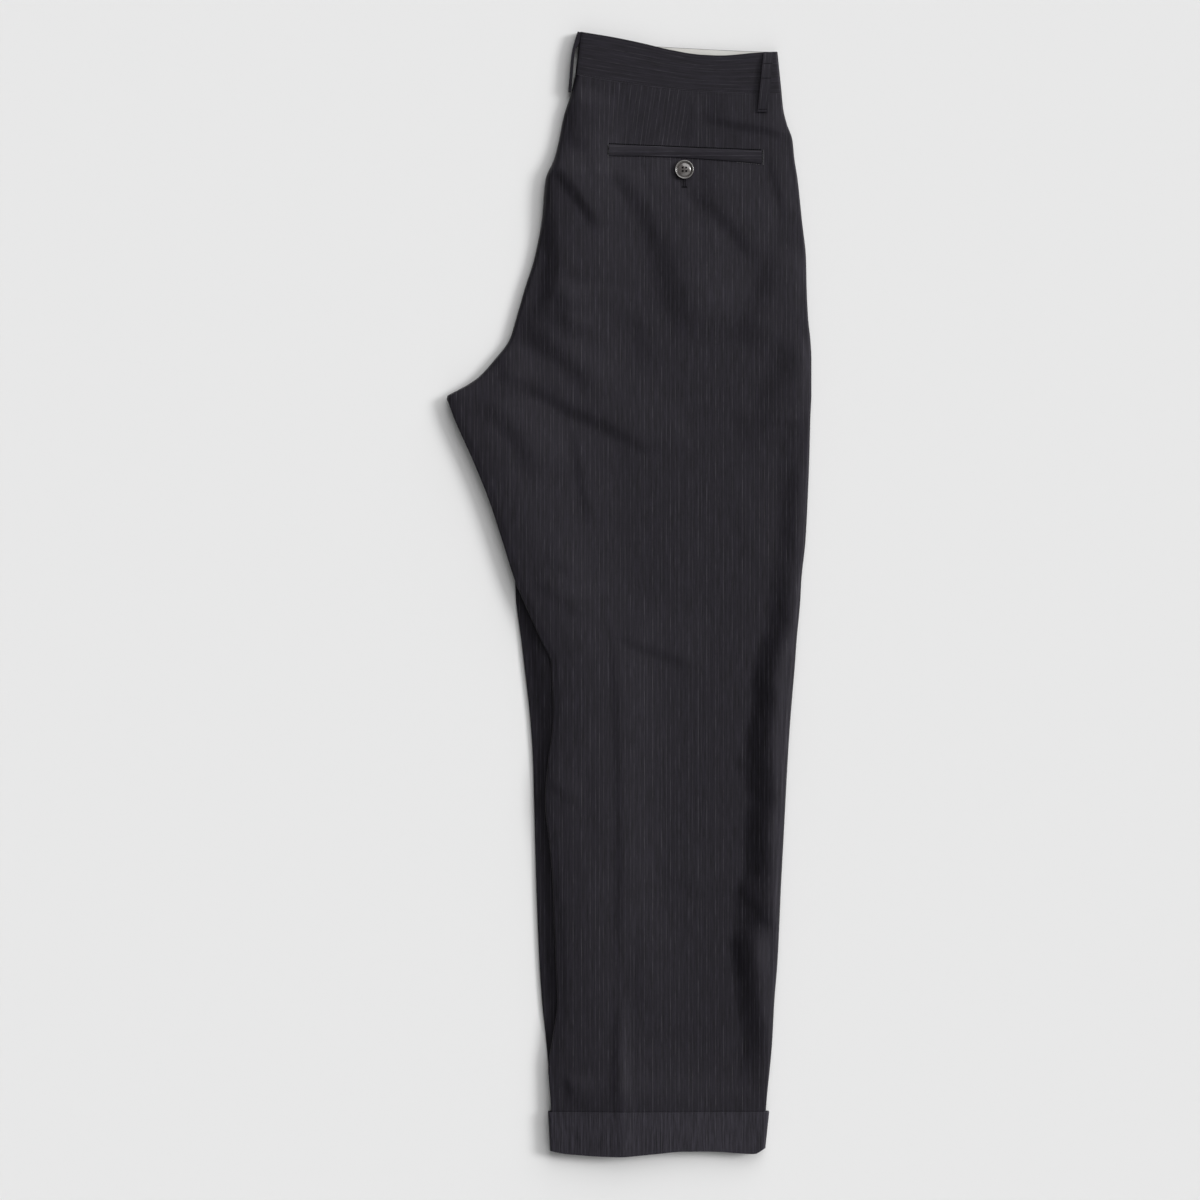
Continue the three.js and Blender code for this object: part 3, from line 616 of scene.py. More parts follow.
# The stripes: how far one wanders in its lane, how strong every second lane is and how much chance adds,
# the step between two lanes' dashes, and the range of noise over which a dash fades in
stripeSizes = {
    "wander": 0.5, "weakLane": 0.65, "laneStep": 0.35, "leastChance": 0.65, "chance": 0.4,
    "dashStep": 7.31, "dashDetail": 3, "dashRange": (0.42, 0.68, 0.25, 1),
}
# The cloth's own streaks: scale across and along it, detail of the noise, and how much each one counts
streakRows = {
    "warp": (1400, 55, 3, 2.8),
    "broad": (640, 34, 2, 3.2),
    "weft": (420, 1700, 2, 0.6),
    "cloud": (22, 14, 2, 0.16),
}
weaveSizes = {
    "yarn": 0.00055, "slant": 0.62, "twill": 0.35, "weft": 1.1, "cross": 0.15, "streak": 1.1,
    "leastTone": 0.08, "roughness": 0.5, "roughnessSwing": 0.14,
}
socketRows = [
    ("Vector", "Vector", "INPUT", None),
    ("Ground", "Color", "INPUT", (0.0060, 0.0052, 0.0080, 1)),
    ("Stripe", "Color", "INPUT", (0.056, 0.053, 0.061, 1)),
    ("Spacing", "Float", "INPUT", 0.0042),
    ("Stripe Width", "Float", "INPUT", 0.0004),
    ("Dash", "Float", "INPUT", 0.022),
    ("Strength", "Float", "INPUT", 1.0),
    ("Color", "Color", "OUTPUT", None),
    ("Roughness", "Float", "OUTPUT", None),
    ("Height", "Float", "OUTPUT", None),
]


# Suiting with broken pinstripes along the second UV axis. It gives the cloth's colour, its roughness
# and the height of its weave.
def buildSuitingGroup():
    group = bpy.data.node_groups.new("stripedSuiting", "ShaderNodeTree")
    for label, kind, way, value in socketRows:
        socket = group.interface.new_socket(name=label, in_out=way, socket_type="NodeSocket" + kind)
        if value is not None:
            socket.default_value = value
    given = group.nodes.new("NodeGroupInput").outputs

    def op(operation, *values):
        return newNode(group, "Math", dict(enumerate(values)), operation=operation).outputs[0]

    def placeOf(*values):
        return newNode(group, "CombineXYZ", dict(enumerate(values))).outputs[0]

    split = newNode(group, "SeparateXYZ", {0: given["Vector"]}).outputs
    across, along = split[0], split[1]
    lane = op("DIVIDE", across, given["Spacing"])
    laneNumber = op("FLOOR", lane)
    chance = newNode(group, "TexWhiteNoise", {"W": laneNumber}, noise_dimensions="1D").outputs["Value"]
    shifted = op("MULTIPLY_ADD", op("SUBTRACT", chance, 0.5), stripeSizes["wander"], 0.5)
    offCentre = op("ABSOLUTE", op("SUBTRACT", op("FRACT", lane), shifted))
    distance = op("MULTIPLY", offCentre, given["Spacing"])
    line = rangeNode(group, distance, 0.0, given["Stripe Width"], 1.0, 0.0)
    weakLane = op("MULTIPLY", op("PINGPONG", laneNumber, 1.0), stripeSizes["laneStep"])
    laneChance = op("MULTIPLY_ADD", chance, stripeSizes["chance"], stripeSizes["leastChance"])
    strength = op("MULTIPLY", op("ADD", weakLane, stripeSizes["weakLane"]), laneChance)
    dashAcross = op("MULTIPLY", laneNumber, stripeSizes["dashStep"])
    dashPlace = placeOf(dashAcross, op("DIVIDE", along, given["Dash"]))
    dashNoise = noiseNode(group, dashPlace, 1.0, stripeSizes["dashDetail"])
    dash = rangeNode(group, dashNoise, *stripeSizes["dashRange"])
    stripe = op("MULTIPLY", op("MULTIPLY", line, dash), op("MULTIPLY", strength, given["Strength"]))

    # Each streak's noise, and the same noise swung about 0, or about 1 for the cloud, by its share
    noises = {}
    swings = {}
    for name, (scaleAcross, scaleAlong, detail, share) in streakRows.items():
        place = placeOf(op("MULTIPLY", across, scaleAcross), op("MULTIPLY", along, scaleAlong))
        noises[name] = noiseNode(group, place, 1.0, detail)
        middle = 1 if name == "cloud" else 0
        swings[name] = op("MULTIPLY_ADD", noises[name], share, middle - share / 2)
    tone = op("ADD", op("ADD", op("ADD", swings["broad"], swings["warp"]), 1.0), swings["weft"])
    tone = op("MULTIPLY", op("MAXIMUM", tone, weaveSizes["leastTone"]), swings["cloud"])
    ground = mixNode(group, 1.0, given["Ground"], placeOf(tone, tone, tone), "MULTIPLY")
    yarn = 2 * math.pi / weaveSizes["yarn"]
    slanted = op("ADD", op("MULTIPLY", across, yarn), op("MULTIPLY", along, yarn * weaveSizes["slant"]))
    cross = op("SINE", op("MULTIPLY", along, yarn * weaveSizes["weft"]))
    crossed = op("MULTIPLY", cross, weaveSizes["cross"])
    weave = op("MULTIPLY_ADD", op("SINE", slanted), weaveSizes["twill"], crossed)
    swing, least = weaveSizes["roughnessSwing"], weaveSizes["roughness"]
    feed(group.nodes.new("NodeGroupOutput"), {
        "Color": mixNode(group, stripe, ground, given["Stripe"]),
        "Roughness": op("MULTIPLY_ADD", noises["weft"], swing, least),
        "Height": op("ADD", weave, op("MULTIPLY", noises["warp"], weaveSizes["streak"])),
    })
    return group


suitingGroup = buildSuitingGroup()
suitingLook = {
    "Specular IOR Level": 0.31, "Specular Tint": (0.93, 0.885, 1.0, 1),
    "Sheen Weight": 0.04, "Sheen Roughness": 0.45,
}
suitingBump = {"distance": 0.00012, "strength": 0.3}


def suiting(name, stripesAcross=False, **inputs):
    material, tree, shader = newMaterial(name)
    place = newNode(tree, "UVMap", {}, uv_map="cloth").outputs[0]
    if stripesAcross:
        place = newNode(tree, "Mapping", {"Rotation": (0, 0, math.pi / 2), "Vector": place}).outputs[0]
    cloth = newNode(tree, "Group", {"Vector": place, **inputs}, node_tree=suitingGroup)
    bump = bumpNode(tree, cloth.outputs["Height"], **suitingBump)
    colour, roughness = cloth.outputs["Color"], cloth.outputs["Roughness"]
    feed(shader, {"Base Color": colour, "Roughness": roughness, "Normal": bump, **suitingLook})
    return material


plainSizes = {"detail": 3, "roughnessSpread": 0.08, "bumpStrength": 0.6}


# Plain woven stuff, such as lining and thread, from fine noise on Object coordinates
def plainCloth(name, colour, spread, scale, roughness, distance, specular=0.3):
    material, tree, shader = newMaterial(name)
    place = newNode(tree, "TexCoord", {}).outputs["Object"]
    fine = noiseNode(tree, place, scale, plainSizes["detail"])
    dark, light = [tuple(min(1, c * share) for c in colour) + (1,) for share in (1 - spread, 1 + spread)]
    least, most = roughness - plainSizes["roughnessSpread"], roughness + plainSizes["roughnessSpread"]
    feed(shader, {
        "Base Color": mixNode(tree, fine, dark, light), "Specular IOR Level": specular,
        "Roughness": rangeNode(tree, fine, 0, 1, least, most),
        "Normal": bumpNode(tree, fine, distance, plainSizes["bumpStrength"]),
    })
    return material


legCloth = suiting("suitingLeg")
bandCloth = suiting("suitingBand", stripesAcross=True, Strength=0.75)
# The turn-ups take the leg's suiting with a lighter ground: painted light, for the brighter light that falls
# on them
turnUpLitCloth = suiting("suitingTurnUpLit", Ground=(0.0150, 0.0136, 0.0184, 1))
liningCloth = plainCloth("liningTwill", (0.62, 0.61, 0.58), 0.06, 1500, 0.75, 0.00015)
# Near-black thread with little specular, used for the dark stitching and also for the painted shade along the
# welt's top and ends
darkThreadAndShade = plainCloth("darkThreadAndShade", (0.004, 0.004, 0.005), 0.3, 2500, 0.8, 0.0001, 0.06)
seamThread = plainCloth("seamThread", (0.03, 0.029, 0.034), 0.3, 2500, 0.7, 0.0001)
paleThread = plainCloth("paleThread", (0.16, 0.16, 0.17), 0.25, 2500, 0.6, 0.0001)
print("stage: materials")

# Panels

# The back dart takes in cloth above the pocket, so the stripes on its left lean towards it
dart = {"x": 58.5, "point": 420, "lean": 0.14, "from": -35, "over": 60}


def dartShear(x, y):
    beside = np.where(x < dart["x"], rise(x, dart["from"], dart["over"]), 0)
    return -dart["lean"] * np.maximum(y - dart["point"], 0) * beside


def panelPiece(name):
    rows = []
    for down in np.linspace(seamMean, hemDown, panels[name]["rows"]):
        x, z, way = panelRow(name, down)
        y = waistY - slantedDown(x, down) - seamSlit / 2
        rows.append((x, y, z, way + (dartShear(x, y) if name == "right_back" else 0), y))
    return clothPiece(name, rows, garment["wall"], legCloth)


panelPieces = {name: panelPiece(name) for name in panels}
print("stage: panels")


# Height of the right back panel's upper face
def backFace(x, y):
    return float(heightOf("right_back", x, waistY - y)) + garment["wall"] / 2


# Waistband

band = {
    "topLeft": -45.4, "topRight": 141, "seamLeft": -50, "seamRight": 145,
    "rows": 22, "flat": 60, "fold": 12, "arc": 8, "frontInset": 11, "wall": 1, "endSqueeze": 0.3,
    "depth": 40, "leftBack": 0.6, "leftFront": 3, "rightFront": 6.4, "rightBack": 10.1,
}
# The band's upper edge at the back and at the front: x and distance below the waist's highest point
backWaistEdge = np.array([
    (-46, 0), (-12, 5.7), (15, 11.4), (39, 17.1), (68, 21.8), (87, 22.6), (123, 19.8), (141, 19),
], float)
frontWaistEdge = np.array([(-46, 4), (21, 13.2), (68, 16), (106, 17.9), (141, 19)], float)


# One row of the band from the centre back round the side fold to the centre front. front is 0 on the
# back half, 1 on the front half and between them over the fold.
def bandColumns(side, share):
    other = "left" if side == "right" else "right"
    backZ, frontZ = band[side + "Back"], band[side + "Front"]
    left = mix(band["topLeft"], band["seamLeft"], share)
    right = mix(band["topRight"], band["seamRight"], share)
    drop = backZ - stopBy(backZ, band[other + "Back"])
    radius = (backZ - frontZ) / 2
    half = garment["clearWall"] / 2
    flatLeft = left + half + abs(drop) * band["endSqueeze"]
    flatRight = right - half - abs(radius)
    turning = np.linspace(1, 1 / band["arc"], band["arc"])
    out, down = curl(drop, 1.0, turning)
    flatX = np.linspace(flatLeft, flatRight, band["flat"])
    angle = math.pi * np.arange(1, band["fold"] + 1) / band["fold"]
    foldX = flatRight + abs(radius) * np.sin(angle)
    foldZ = frontZ + radius * (1 + np.cos(angle))
    frontX = np.linspace(flatRight, left + band["frontInset"], band["flat"])[1:]
    x = np.concatenate([flatLeft - out * band["endSqueeze"], flatX, foldX, frontX])
    z = np.concatenate([backZ - down, flatX * 0 + backZ, foldZ, frontX * 0 + frontZ])
    turned = np.arange(1, band["fold"] + 1) / band["fold"]
    return x, z, np.concatenate([out * 0, flatX * 0, turned, frontX * 0 + 1])


def bandPiece(side):
    grid = []
    for share in np.linspace(0, 1, band["rows"]):
        x, z, front = bandColumns(side, share)
        top = mix(edgeLine(backWaistEdge, x), edgeLine(frontWaistEdge, x), front)
        down = mix(top, seamAt(x) - seamSlit / 2, share)
        grid.append((x, waistY - down, z, wayAlong(x, z), -share * band["depth"]))
    return clothPiece("waistband_" + side, grid, band["wall"], bandCloth)


bandPieces = [bandPiece("right"), bandPiece("left")]

liningBox = {"left": -20, "right": 134, "topGap": 0.5, "depth": 31, "wall": 0.8, "clear": 0.5,
             "ripple": 0.12, "rippleOver": 5.5, "columns": 60, "rows": 14}


def liningPiece():
    grid = []
    z = band["rightFront"] + garment["clearWall"] / 2 + garment["seamGap"] + liningBox["clear"]
    for share in np.linspace(0, 1, liningBox["rows"]):
        x = np.linspace(liningBox["left"], liningBox["right"], liningBox["columns"])
        down = edgeLine(frontWaistEdge, x) + liningBox["topGap"] + liningBox["depth"] * share
        ripple = liningBox["ripple"] * np.sin(x / liningBox["rippleOver"]) * (1 - share)
        grid.append((x, waistY - down, z + ripple))
    return clothPiece("waistband_lining", grid, liningBox["wall"], liningCloth)


liningSheet = liningPiece()
print("stage: waistband")

# Turn-ups

# The turn-ups' lower edge: x and distance below the waist's highest point
turnUpEdge = np.array([
    (-74, 1054.6), (-58, 1057.5), (-9, 1060), (23, 1057.5), (53, 1055), (76, 1055), (119, 1057.5),
    (129, 1052),
], float)
turnUp = {"left": -75.6, "topRight": 133.2, "bottomLeft": -73.8, "bottomRight": 129.6,
          "flat": 70, "arc": 14, "rows": 20}


# A flattened tube between two heights
def turnUpPiece(side, lowZ, highZ):
    half = garment["clearWall"] / 2
    radius = (highZ - lowZ) / 2
    top = garment["length"] - garment["turnUpDepth"]
    grid = []
    for share in np.linspace(0, 1, turnUp["rows"]):
        flatLeft = mix(turnUp["left"], turnUp["bottomLeft"], share) + half + radius
        flatRight = mix(turnUp["topRight"], turnUp["bottomRight"], share) - half - radius
        flatX = np.linspace(flatLeft, flatRight, turnUp["flat"])
        angle = math.pi * np.arange(1, turnUp["arc"]) / turnUp["arc"]
        arc = radius * np.sin(angle)
        x = np.concatenate([flatX, flatRight + arc, flatX[::-1], flatLeft - arc, flatX[:1]])
        upper = highZ + (hemRise(flatX) if side == "right" else flatX * 0)
        z = np.concatenate([upper, lowZ + radius * (1 + np.cos(angle)), flatX * 0 + lowZ,
                            lowZ + radius * (1 - np.cos(angle)), upper[:1]])
        y = waistY - mix(top, edgeLine(turnUpEdge, x), share)
        grid.append((x, y, z, wayAlong(x, z) + flatLeft, y))
    return clothPiece("cuff_" + side, grid, garment["wall"], turnUpLitCloth, ring=True)


turnUps = [turnUpPiece("left", 0.6, 5.4), turnUpPiece("right", 6.9, 11.7)]
print("stage: turn-ups")

# Fly facing, loops and welt

fly = {"top": 66, "bottom": 236, "near": 16, "far": 50, "columns": 12, "rows": 60, "wall": 0.7}


def flyPiece():
    grid = []
    for down in np.linspace(fly["top"], fly["bottom"], fly["rows"]):
        x = outlineAt("left", down) + np.linspace(fly["near"], fly["far"], fly["columns"])
        z = (heightOf("left_front", x, down) + heightOf("right_front", x, down)) / 2
        grid.append((x, waistY - slantedDown(x, down), z))
    return clothPiece("fly_placket", grid, fly["wall"], legCloth)


flySheet = flyPiece()

# Places of the centre-back loop: distance below the waist's highest point, and x
centreLoopPath = np.array([
    (0.6, -46.6), (8.5, -49.2), (20.8, -52.2), (29.3, -53.2), (39.7, -54.0), (48.2, -54.8), (56, -55.4),
], float)
centreLoop = {"low": 0.3, "width": 9.5, "wall": 2.8, "steps": 40, "columns": 9,
              "endWall": 4.6, "endTo": 10, "endOver": 5, "shift": 0.4, "endShift": 0.9}


# 1 over the folded end that is sewn to the waistband's top, 0 below it
def loopEnd(down):
    return float(fall(down, centreLoop["endTo"], centreLoop["endOver"]))


def loopWallShare(down):
    return mix(centreLoop["wall"] / centreLoop["endWall"], 1, loopEnd(down))


def centreLoopPiece():
    grid = []
    z = centreLoop["low"] + centreLoop["width"] * np.linspace(0, 1, centreLoop["columns"])
    for down in np.linspace(centreLoopPath[0, 0], centreLoopPath[-1, 0], centreLoop["steps"] + 1):
        shift = centreLoop["shift"] + centreLoop["endShift"] * loopEnd(down)
        grid.append((float(edgeLine(centreLoopPath, down)) + shift, waistY - down, z))
    return clothPiece("belt_loop_centre_back", grid, centreLoop["endWall"], legCloth,
                      flat=(2, 1), wallShare=loopWallShare)


sideLoop = {"topX": 132.4, "topY": 509.5, "bottomX": 126.6, "bottomY": 454, "bow": 2.2, "bowPower": 0.8,
            "clear": 0.8, "width": 9.5, "wall": 1.5, "steps": 40, "columns": 9}


# Height of the side loop's middle, bowed over the band and the panel. share runs from its top to its end.
def sideLoopRise(x, y, share):
    half = garment["clearWall"] / 2
    bandTop = band["rightBack"] + half
    panelTop = heightOf("right_back", x, max(seamMean, waistY - y)) + half
    bow = sideLoop["bow"] * math.sin(math.pi * share) ** sideLoop["bowPower"]
    return mix(bandTop, np.maximum(panelTop, bandTop), share) + garment["seamGap"] + sideLoop["clear"] + bow


def sideLoopPiece():
    grid = []
    across = np.linspace(-0.5, 0.5, sideLoop["columns"]) * sideLoop["width"]
    for share in np.linspace(0, 1, sideLoop["steps"] + 1):
        x = mix(sideLoop["topX"], sideLoop["bottomX"], share) + across
        y = mix(sideLoop["topY"], sideLoop["bottomY"], share)
        grid.append((x, y, sideLoopRise(x, y, share), across, y))
    return clothPiece("belt_loop_right_side", grid, sideLoop["wall"], legCloth)


loopPieces = [centreLoopPiece(), sideLoopPiece()]

welt = {"left": -18, "length": 144, "top": 423.4, "topFall": 5.7, "bottom": 413, "bottomFall": 7.6,
        "columns": 90, "rows": 14, "wall": 0.8, "clear": 0.3, "puff": 0.5, "puffPower": 0.6}


# share runs along the welt and depth from its top to its bottom
def weltPlace(share, depth):
    x = welt["left"] + welt["length"] * share
    top = welt["top"] - welt["topFall"] * share
    bottom = welt["bottom"] - welt["bottomFall"] * share * abs(share)
    return x, mix(top, bottom, depth)


def weltPiece():
    grid = []
    for depth in np.linspace(0, 1, welt["rows"]):
        puff = welt["puff"] * math.sin(math.pi * depth) ** welt["puffPower"]
        up = garment["seamGap"] + welt["clear"] + puff
        places = [weltPlace(share, depth) for share in np.linspace(0, 1, welt["columns"])]
        grid.append(zip(*[(x, y, backFace(x, y) + up) for x, y in places]))
    return clothPiece("pocket_welt", grid, welt["wall"], bandCloth)


weltSheet = weltPiece()
print("stage: loops and welt")

# Button

button = {"x": 53, "y": 399.7, "hole": 1.05, "holeSides": 20, "drill": 10, "spread": 1.65, "steps": 64}
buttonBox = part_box("pocket_button")
# Half of its section, from the middle of its underside out and back: distance from the middle, and height
buttonProfile = [
    (0, 0), (6.6, 0), (7.7, 0.5), (8.4, 1.1), (8.75, 1.6), (8.78, 2.1), (8.6, 2.46), (8.3, 2.6), (8.0, 2.5),
    (7.75, 2.1), (7.55, 1.3), (7.3, 0.6), (6.95, 0.4), (6.6, 0.6), (6.3, 1.05), (5.7, 1.4), (4.7, 1.75),
    (3.5, 2.05), (2.2, 2.25), (1.0, 2.34), (0, 2.34),
]
# rim is a lighter base colour laid over the rim from rimFrom to rimTo: a painted highlight
horn = {
    "dark": (0.05, 0.045, 0.043, 1), "light": (0.16, 0.146, 0.14, 1), "scale": 260, "detail": 4,
    "rim": (0.17, 0.161, 0.155, 1), "rimFrom": 7.5, "rimTo": 8, "roughness": (0.3, 0.7, 0.2, 0.28),
}
hornLook = {"Specular IOR Level": 1, "Coat Weight": 0.7, "Coat Roughness": 0.14}


def turnedDisc():
    bm = bmesh.new()
    ring = [bm.verts.new((r * mm, 0, z * mm)) for r, z in buttonProfile]
    edges = [bm.edges.new(pair) for pair in zip(ring, ring[1:])]
    bmesh.ops.spin(bm, geom=ring + edges, cent=(0, 0, 0), axis=(0, 0, 1), angle=2 * math.pi,
                   steps=button["steps"], use_merge=True)
    bmesh.ops.remove_doubles(bm, verts=bm.verts, dist=closeBy["lathe"] * mm)
    bmesh.ops.recalc_face_normals(bm, faces=bm.faces)
    return pieceFrom("pocket-button-disc", bm)


def fourDrills():
    bm = bmesh.new()
    radius = button["hole"] * mm
    for sx, sy in ((1, 1), (1, -1), (-1, 1), (-1, -1)):
        drilled = bmesh.ops.create_cone(bm, segments=button["holeSides"], radius1=radius, radius2=radius,
                                        depth=button["drill"] * mm, cap_ends=True)
        bmesh.ops.translate(bm, verts=drilled["verts"], vec=Vector((sx, sy, 0)) * button["spread"] * mm)
    return pieceFrom("drills", bm)


def buttonMaterial():
    material, tree, shader = newMaterial("buttonHorn")
    place = newNode(tree, "TexCoord", {}).outputs["Object"]
    cloud = noiseNode(tree, place, horn["scale"], horn["detail"])
    middle = (button["x"] * mm, button["y"] * mm, buttonBox[1].z)
    away = newNode(tree, "VectorMath", {0: place, 1: middle}, operation="DISTANCE").outputs["Value"]
    # The rim's lighter base colour is a painted highlight over the mottled horn
    paintedRimHighlight = rangeNode(tree, away, horn["rimFrom"] * mm, horn["rimTo"] * mm, 0, 1)
    mottled = mixNode(tree, cloud, horn["dark"], horn["light"])
    feed(shader, {
        "Base Color": mixNode(tree, paintedRimHighlight, mottled, horn["rim"]),
        "Roughness": rangeNode(tree, cloud, *horn["roughness"]), **hornLook,
    })
    return material


def buttonPiece():
    disc = turnedDisc()
    drills = fourDrills()
    cut = disc.modifiers.new("holes", "BOOLEAN")
    cut.object = drills
    cut.operation = "DIFFERENCE"
    cut.solver = "EXACT"
    applyModifiers(disc)
    bpy.data.objects.remove(drills)
    disc.data.set_sharp_from_angle(angle=math.radians(sharpEdge["button"]))
    disc.data.transform(Matrix.Translation(Vector((button["x"], button["y"], buttonBox[0].z / mm)) * mm))
    finishPiece(disc, buttonMaterial(), ["pocket_button"])


buttonPiece()
print("stage: button")

# Stitches, and a row of painted shade along the welt: each is a small rounded bar, and a row of them is one
# piece

def addStitch(bm, start, end, width, height):
    along = end - start
    verts = bmesh.ops.create_icosphere(bm, subdivisions=1, radius=0.5)["verts"]
    bmesh.ops.scale(bm, verts=verts, vec=Vector((along.length, width, height)))
    bmesh.ops.transform(bm, verts=verts, matrix=along.to_track_quat("X", "Z").to_matrix().to_4x4())
    bmesh.ops.translate(bm, verts=verts, vec=(start + end) / 2)


def stitchPiece(name, bars, width, height, material):
    bm = bmesh.new()
    for start, end in bars:
        addStitch(bm, Vector(start) * mm, Vector(end) * mm, width * mm, height * mm)
    finishPiece(pieceFrom(name, bm), material)


def bandTopZ(x, y):
    return band["rightBack"] + band["wall"] / 2


# Rows of stitches: the step from one to the next, the share of it that is sewn, how far it lies over the
# cloth, and the thread
stitchColumns = ("pitch", "share", "out", "width", "height", "thread")
stitchRows = {
    "waist-seam-stitches": (2.6, 0.62, 0.03, 0.35, 0.25, seamThread),
    "waist-blind-stitches": (1.9, 0.5, 0.06, 0.5, 0.25, seamThread),
    "welt-lower-stitches": (2.4, 0.6, 0.08, 0.35, 0.25, darkThreadAndShade),
    # The welt's dark edge row is no stitching: its wide bars overlap into one continuous dark line, painted
    # shade of the pocket mouth and of the crevices at the welt's ends
    "welt-painted-shade-edge": (2.0, 1.1, 0.1, 1.7, 0.5, darkThreadAndShade),
    "welt-pale-stitches": (2.2, 0.55, 0.1, 0.45, 0.3, paleThread),
}
# Close zigzags: how wide, how many bars, how far over the cloth
tackRows = {
    "welt": (0.9, 26, 0.25),
    "loop": (1, 16, 0.05),
    "holeSide": (1.1, 46, 0.12),
    "holeEnd": (2.2, 12, 0.15),
}


def sewRow(name, paths, surface):
    kind = dict(zip(stitchColumns, stitchRows[name]))
    bars = []
    for path in paths:
        bars += runOfStitches(path, kind, surface)
    stitchPiece(name, bars, kind["width"], kind["height"], kind["thread"])


def runOfStitches(path, kind, surface):
    bars = []
    travelled = 0.0
    sewn = kind["pitch"] * kind["share"]
    lengths = [math.dist(a, b) for a, b in zip(path, path[1:])]
    total = sum(lengths)
    while travelled + sewn < total:
        ends = []
        for left in (travelled, travelled + sewn):
            for (a, b), length in zip(zip(path, path[1:]), lengths):
                if left <= length:
                    break
                left -= length
            t = left / length
            x, y = mix(a[0], b[0], t), mix(a[1], b[1], t)
            ends.append((x, y, surface(x, y) + kind["out"]))
        bars.append(tuple(ends))
        travelled += kind["pitch"]
    return bars


def zigzag(start, end, tack, surface):
    bars = []
    width, count, out = tackRows[tack]
    alongX, alongY = end[0] - start[0], end[1] - start[1]
    length = math.hypot(alongX, alongY)
    sideX, sideY = -alongY / length * width / 2, alongX / length * width / 2
    for k in range(count):
        side = 1 if k % 2 else -1
        t0, t1 = k / count, (k + 1) / count
        a = (start[0] + alongX * t0 + side * sideX, start[1] + alongY * t0 + side * sideY)
        b = (start[0] + alongX * t1 - side * sideX, start[1] + alongY * t1 - side * sideY)
        bars.append(((a[0], a[1], surface(*a) + out), (b[0], b[1], surface(*b) + out)))
    return bars


def loopFace(x, y):
    share = (sideLoop["topY"] - y) / (sideLoop["topY"] - sideLoop["bottomY"])
    return float(sideLoopRise(x, y, share)) + sideLoop["wall"] / 2


# Places along the waist seam and along the welt, moved up or down from them
def besideSeam(left, right, count, up):
    return [(x, waistY - float(seamAt(x)) + up) for x in np.linspace(left, right, count)]


def besideWelt(start, end, depth, up):
    places = [weltPlace(share, depth) for share in np.linspace(start, end, weltSewingAndShade["points"])]
    return [(x, y + up) for x, y in places]


seamSewing = {"up": 1.6, "band": (-42, 122, 80), "panel": (34, 121, 60)}
sewRow("waist-seam-stitches", [besideSeam(*seamSewing["band"], seamSewing["up"])], bandTopZ)
sewRow("waist-blind-stitches", [besideSeam(*seamSewing["panel"], -seamSewing["up"])], backFace)

weltSewingAndShade = {
    "points": 60, "lower": (0.02, 0.985, 1, -0.9), "darkPoints": 50, "upper": (-0.004, 1.004, 0, 0.7),
    "endShares": (-0.006, 1.006), "endDepths": (-0.05, 0.35, 0.7, 1.05),
    "tackShares": (-0.006, 1.008), "tackDepths": (-0.05, 1.08),
}
weltLower = besideWelt(*weltSewingAndShade["lower"])
sewRow("welt-lower-stitches", [weltLower[:weltSewingAndShade["darkPoints"]]], backFace)
# Along the welt's top and round both its ends lies a continuous dark bar: painted shade of the pocket mouth
# and of the crevices beside the welt
weltShadeEdges = [besideWelt(*weltSewingAndShade["upper"])]
for share in weltSewingAndShade["endShares"]:
    weltShadeEdges.append([weltPlace(share, depth) for depth in weltSewingAndShade["endDepths"]])
sewRow("welt-painted-shade-edge", weltShadeEdges, backFace)
sewRow("welt-pale-stitches", [weltLower[weltSewingAndShade["darkPoints"]:]], backFace)
weltTacks = []
for share in weltSewingAndShade["tackShares"]:
    weltTacks += zigzag(*[weltPlace(share, depth) for depth in weltSewingAndShade["tackDepths"]], "welt", backFace)
stitchPiece("welt-bar-tacks", weltTacks, 0.32, 0.28, paleThread)

loopSewing = {"places": (499.5, 485.5, 456.2), "half": 4.2}
loopTacks = []
for y in loopSewing["places"]:
    share = (sideLoop["topY"] - y) / (sideLoop["topY"] - sideLoop["bottomY"])
    x = mix(sideLoop["topX"], sideLoop["bottomX"], share)
    loopTacks += zigzag((x - loopSewing["half"], y), (x + loopSewing["half"], y), "loop", loopFace)
stitchPiece("side-loop-bar-tacks", loopTacks, 0.35, 0.3, darkThreadAndShade)

# The buttonhole runs down from its top, with a bar across its end
hole = {"top": 404, "bottom": 384, "aside": 0.9, "bar": 383.4, "barHalf": 2.6}
holeBars = []
for aside in (-hole["aside"], hole["aside"]):
    holeX = button["x"] + aside
    holeBars += zigzag((holeX, hole["top"]), (holeX, hole["bottom"]), "holeSide", backFace)
barEnds = [(button["x"] + aside, hole["bar"]) for aside in (-hole["barHalf"], hole["barHalf"])]
stitchPiece("buttonhole-stitches", holeBars + zigzag(*barEnds, "holeEnd", backFace), 0.32, 0.28, darkThreadAndShade)

buttonThread = {"up": 2.05, "width": 0.45, "height": 0.5}
threadTop = buttonBox[0].z / mm + buttonThread["up"]
threads = []
for slant in (1, -1):
    sides = (-button["spread"], button["spread"])
    threads.append([(button["x"] + side, button["y"] + side * slant, threadTop) for side in sides])
stitchPiece("button-thread", threads, buttonThread["width"], buttonThread["height"], darkThreadAndShade)
print("stage: stitches")

# Floor, light and camera

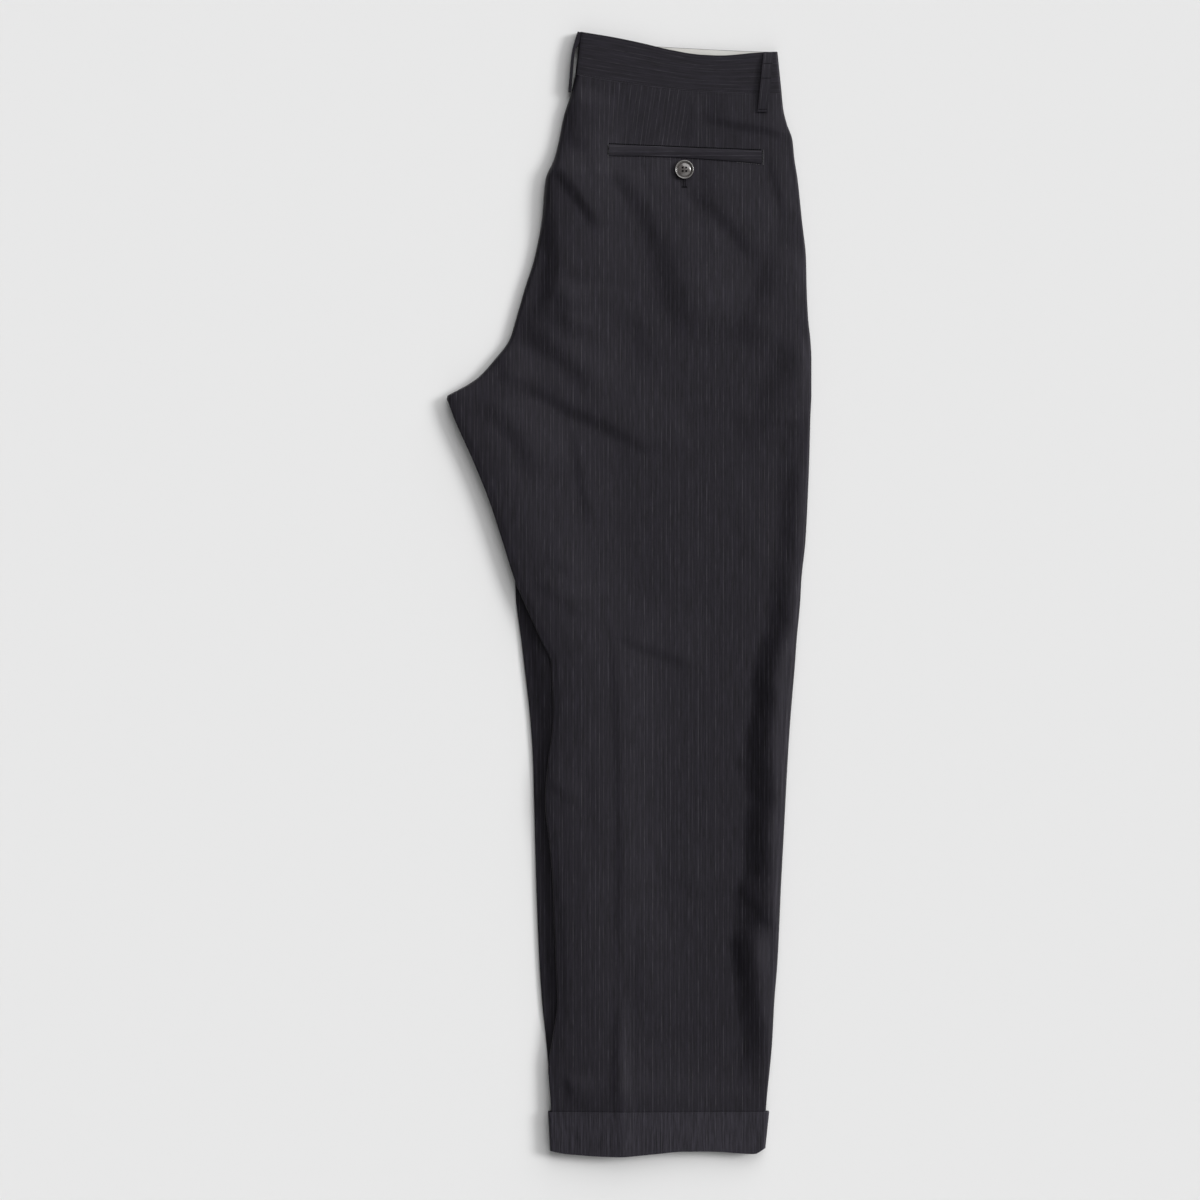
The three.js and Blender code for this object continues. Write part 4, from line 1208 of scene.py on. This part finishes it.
studio = {
    "floor": (0.83, 0.83, 0.83, 1), "floorHalf": 20, "floorRoughness": 0.9, "floorSpecular": 0.1,
    "world": (1, 1, 1, 1), "worldStrength": 0.1, "cameraHeight": 3.5, "sensor": 36,
    "photoMmPerPixel": 0.945, "photoPixels": 1200, "centrePixel": (628, 594),
}
lampColumns = ("name", "strength", "elevation", "azimuth", "angle")
lampRows = [
    ("key", 2.0, 33.0, 13.0, 20.0),
    ("fillTop", 2.2, 35.0, 62.0, 70.0),
    ("fillFoot", 0.6, 40.0, -70.0, 70.0),
]


def buildFloor():
    bm = bmesh.new()
    bmesh.ops.create_grid(bm, x_segments=2, y_segments=2, size=studio["floorHalf"])
    floor = pieceFrom("floor", bm)
    material, tree, shader = newMaterial("paleFloor")
    feed(shader, {"Base Color": studio["floor"], "Roughness": studio["floorRoughness"],
                         "Specular IOR Level": studio["floorSpecular"]})
    floor.data.materials.append(material)


def buildLight():
    world = bpy.data.worlds.new("studio")
    world.use_nodes = True
    feed(world.node_tree.nodes["Background"], {"Color": studio["world"], "Strength": studio["worldStrength"]})
    scene.world = world
    for row in lampRows:
        wanted = dict(zip(lampColumns, row))
        lamp = bpy.data.lights.new(wanted["name"], "SUN")
        lamp.energy = wanted["strength"]
        lamp.angle = math.radians(wanted["angle"])
        holder = bpy.data.objects.new(wanted["name"], lamp)
        elevation = math.radians(wanted["elevation"])
        azimuth = math.radians(wanted["azimuth"])
        level = math.cos(elevation)
        towards = Vector((level * math.cos(azimuth), level * math.sin(azimuth), math.sin(elevation)))
        holder.rotation_mode = "QUATERNION"
        holder.rotation_quaternion = towards.to_track_quat("Z", "Y")
        scene.collection.objects.link(holder)


def buildCamera():
    lens = bpy.data.cameras.new("camera")
    lens.sensor_width = studio["sensor"]
    width = studio["photoPixels"] * studio["photoMmPerPixel"] * mm
    lens.lens = studio["sensor"] * studio["cameraHeight"] / width
    camera = bpy.data.objects.new("camera", lens)
    middle = studio["photoPixels"] / 2
    camera.location = ((middle - studio["centrePixel"][0]) * studio["photoMmPerPixel"] * mm,
                       (studio["centrePixel"][1] - middle) * studio["photoMmPerPixel"] * mm,
                       studio["cameraHeight"])
    scene.collection.objects.link(camera)
    scene.camera = camera


buildFloor()
buildLight()
buildCamera()
scene.view_settings.view_transform = "Standard"
print("stage: studio")
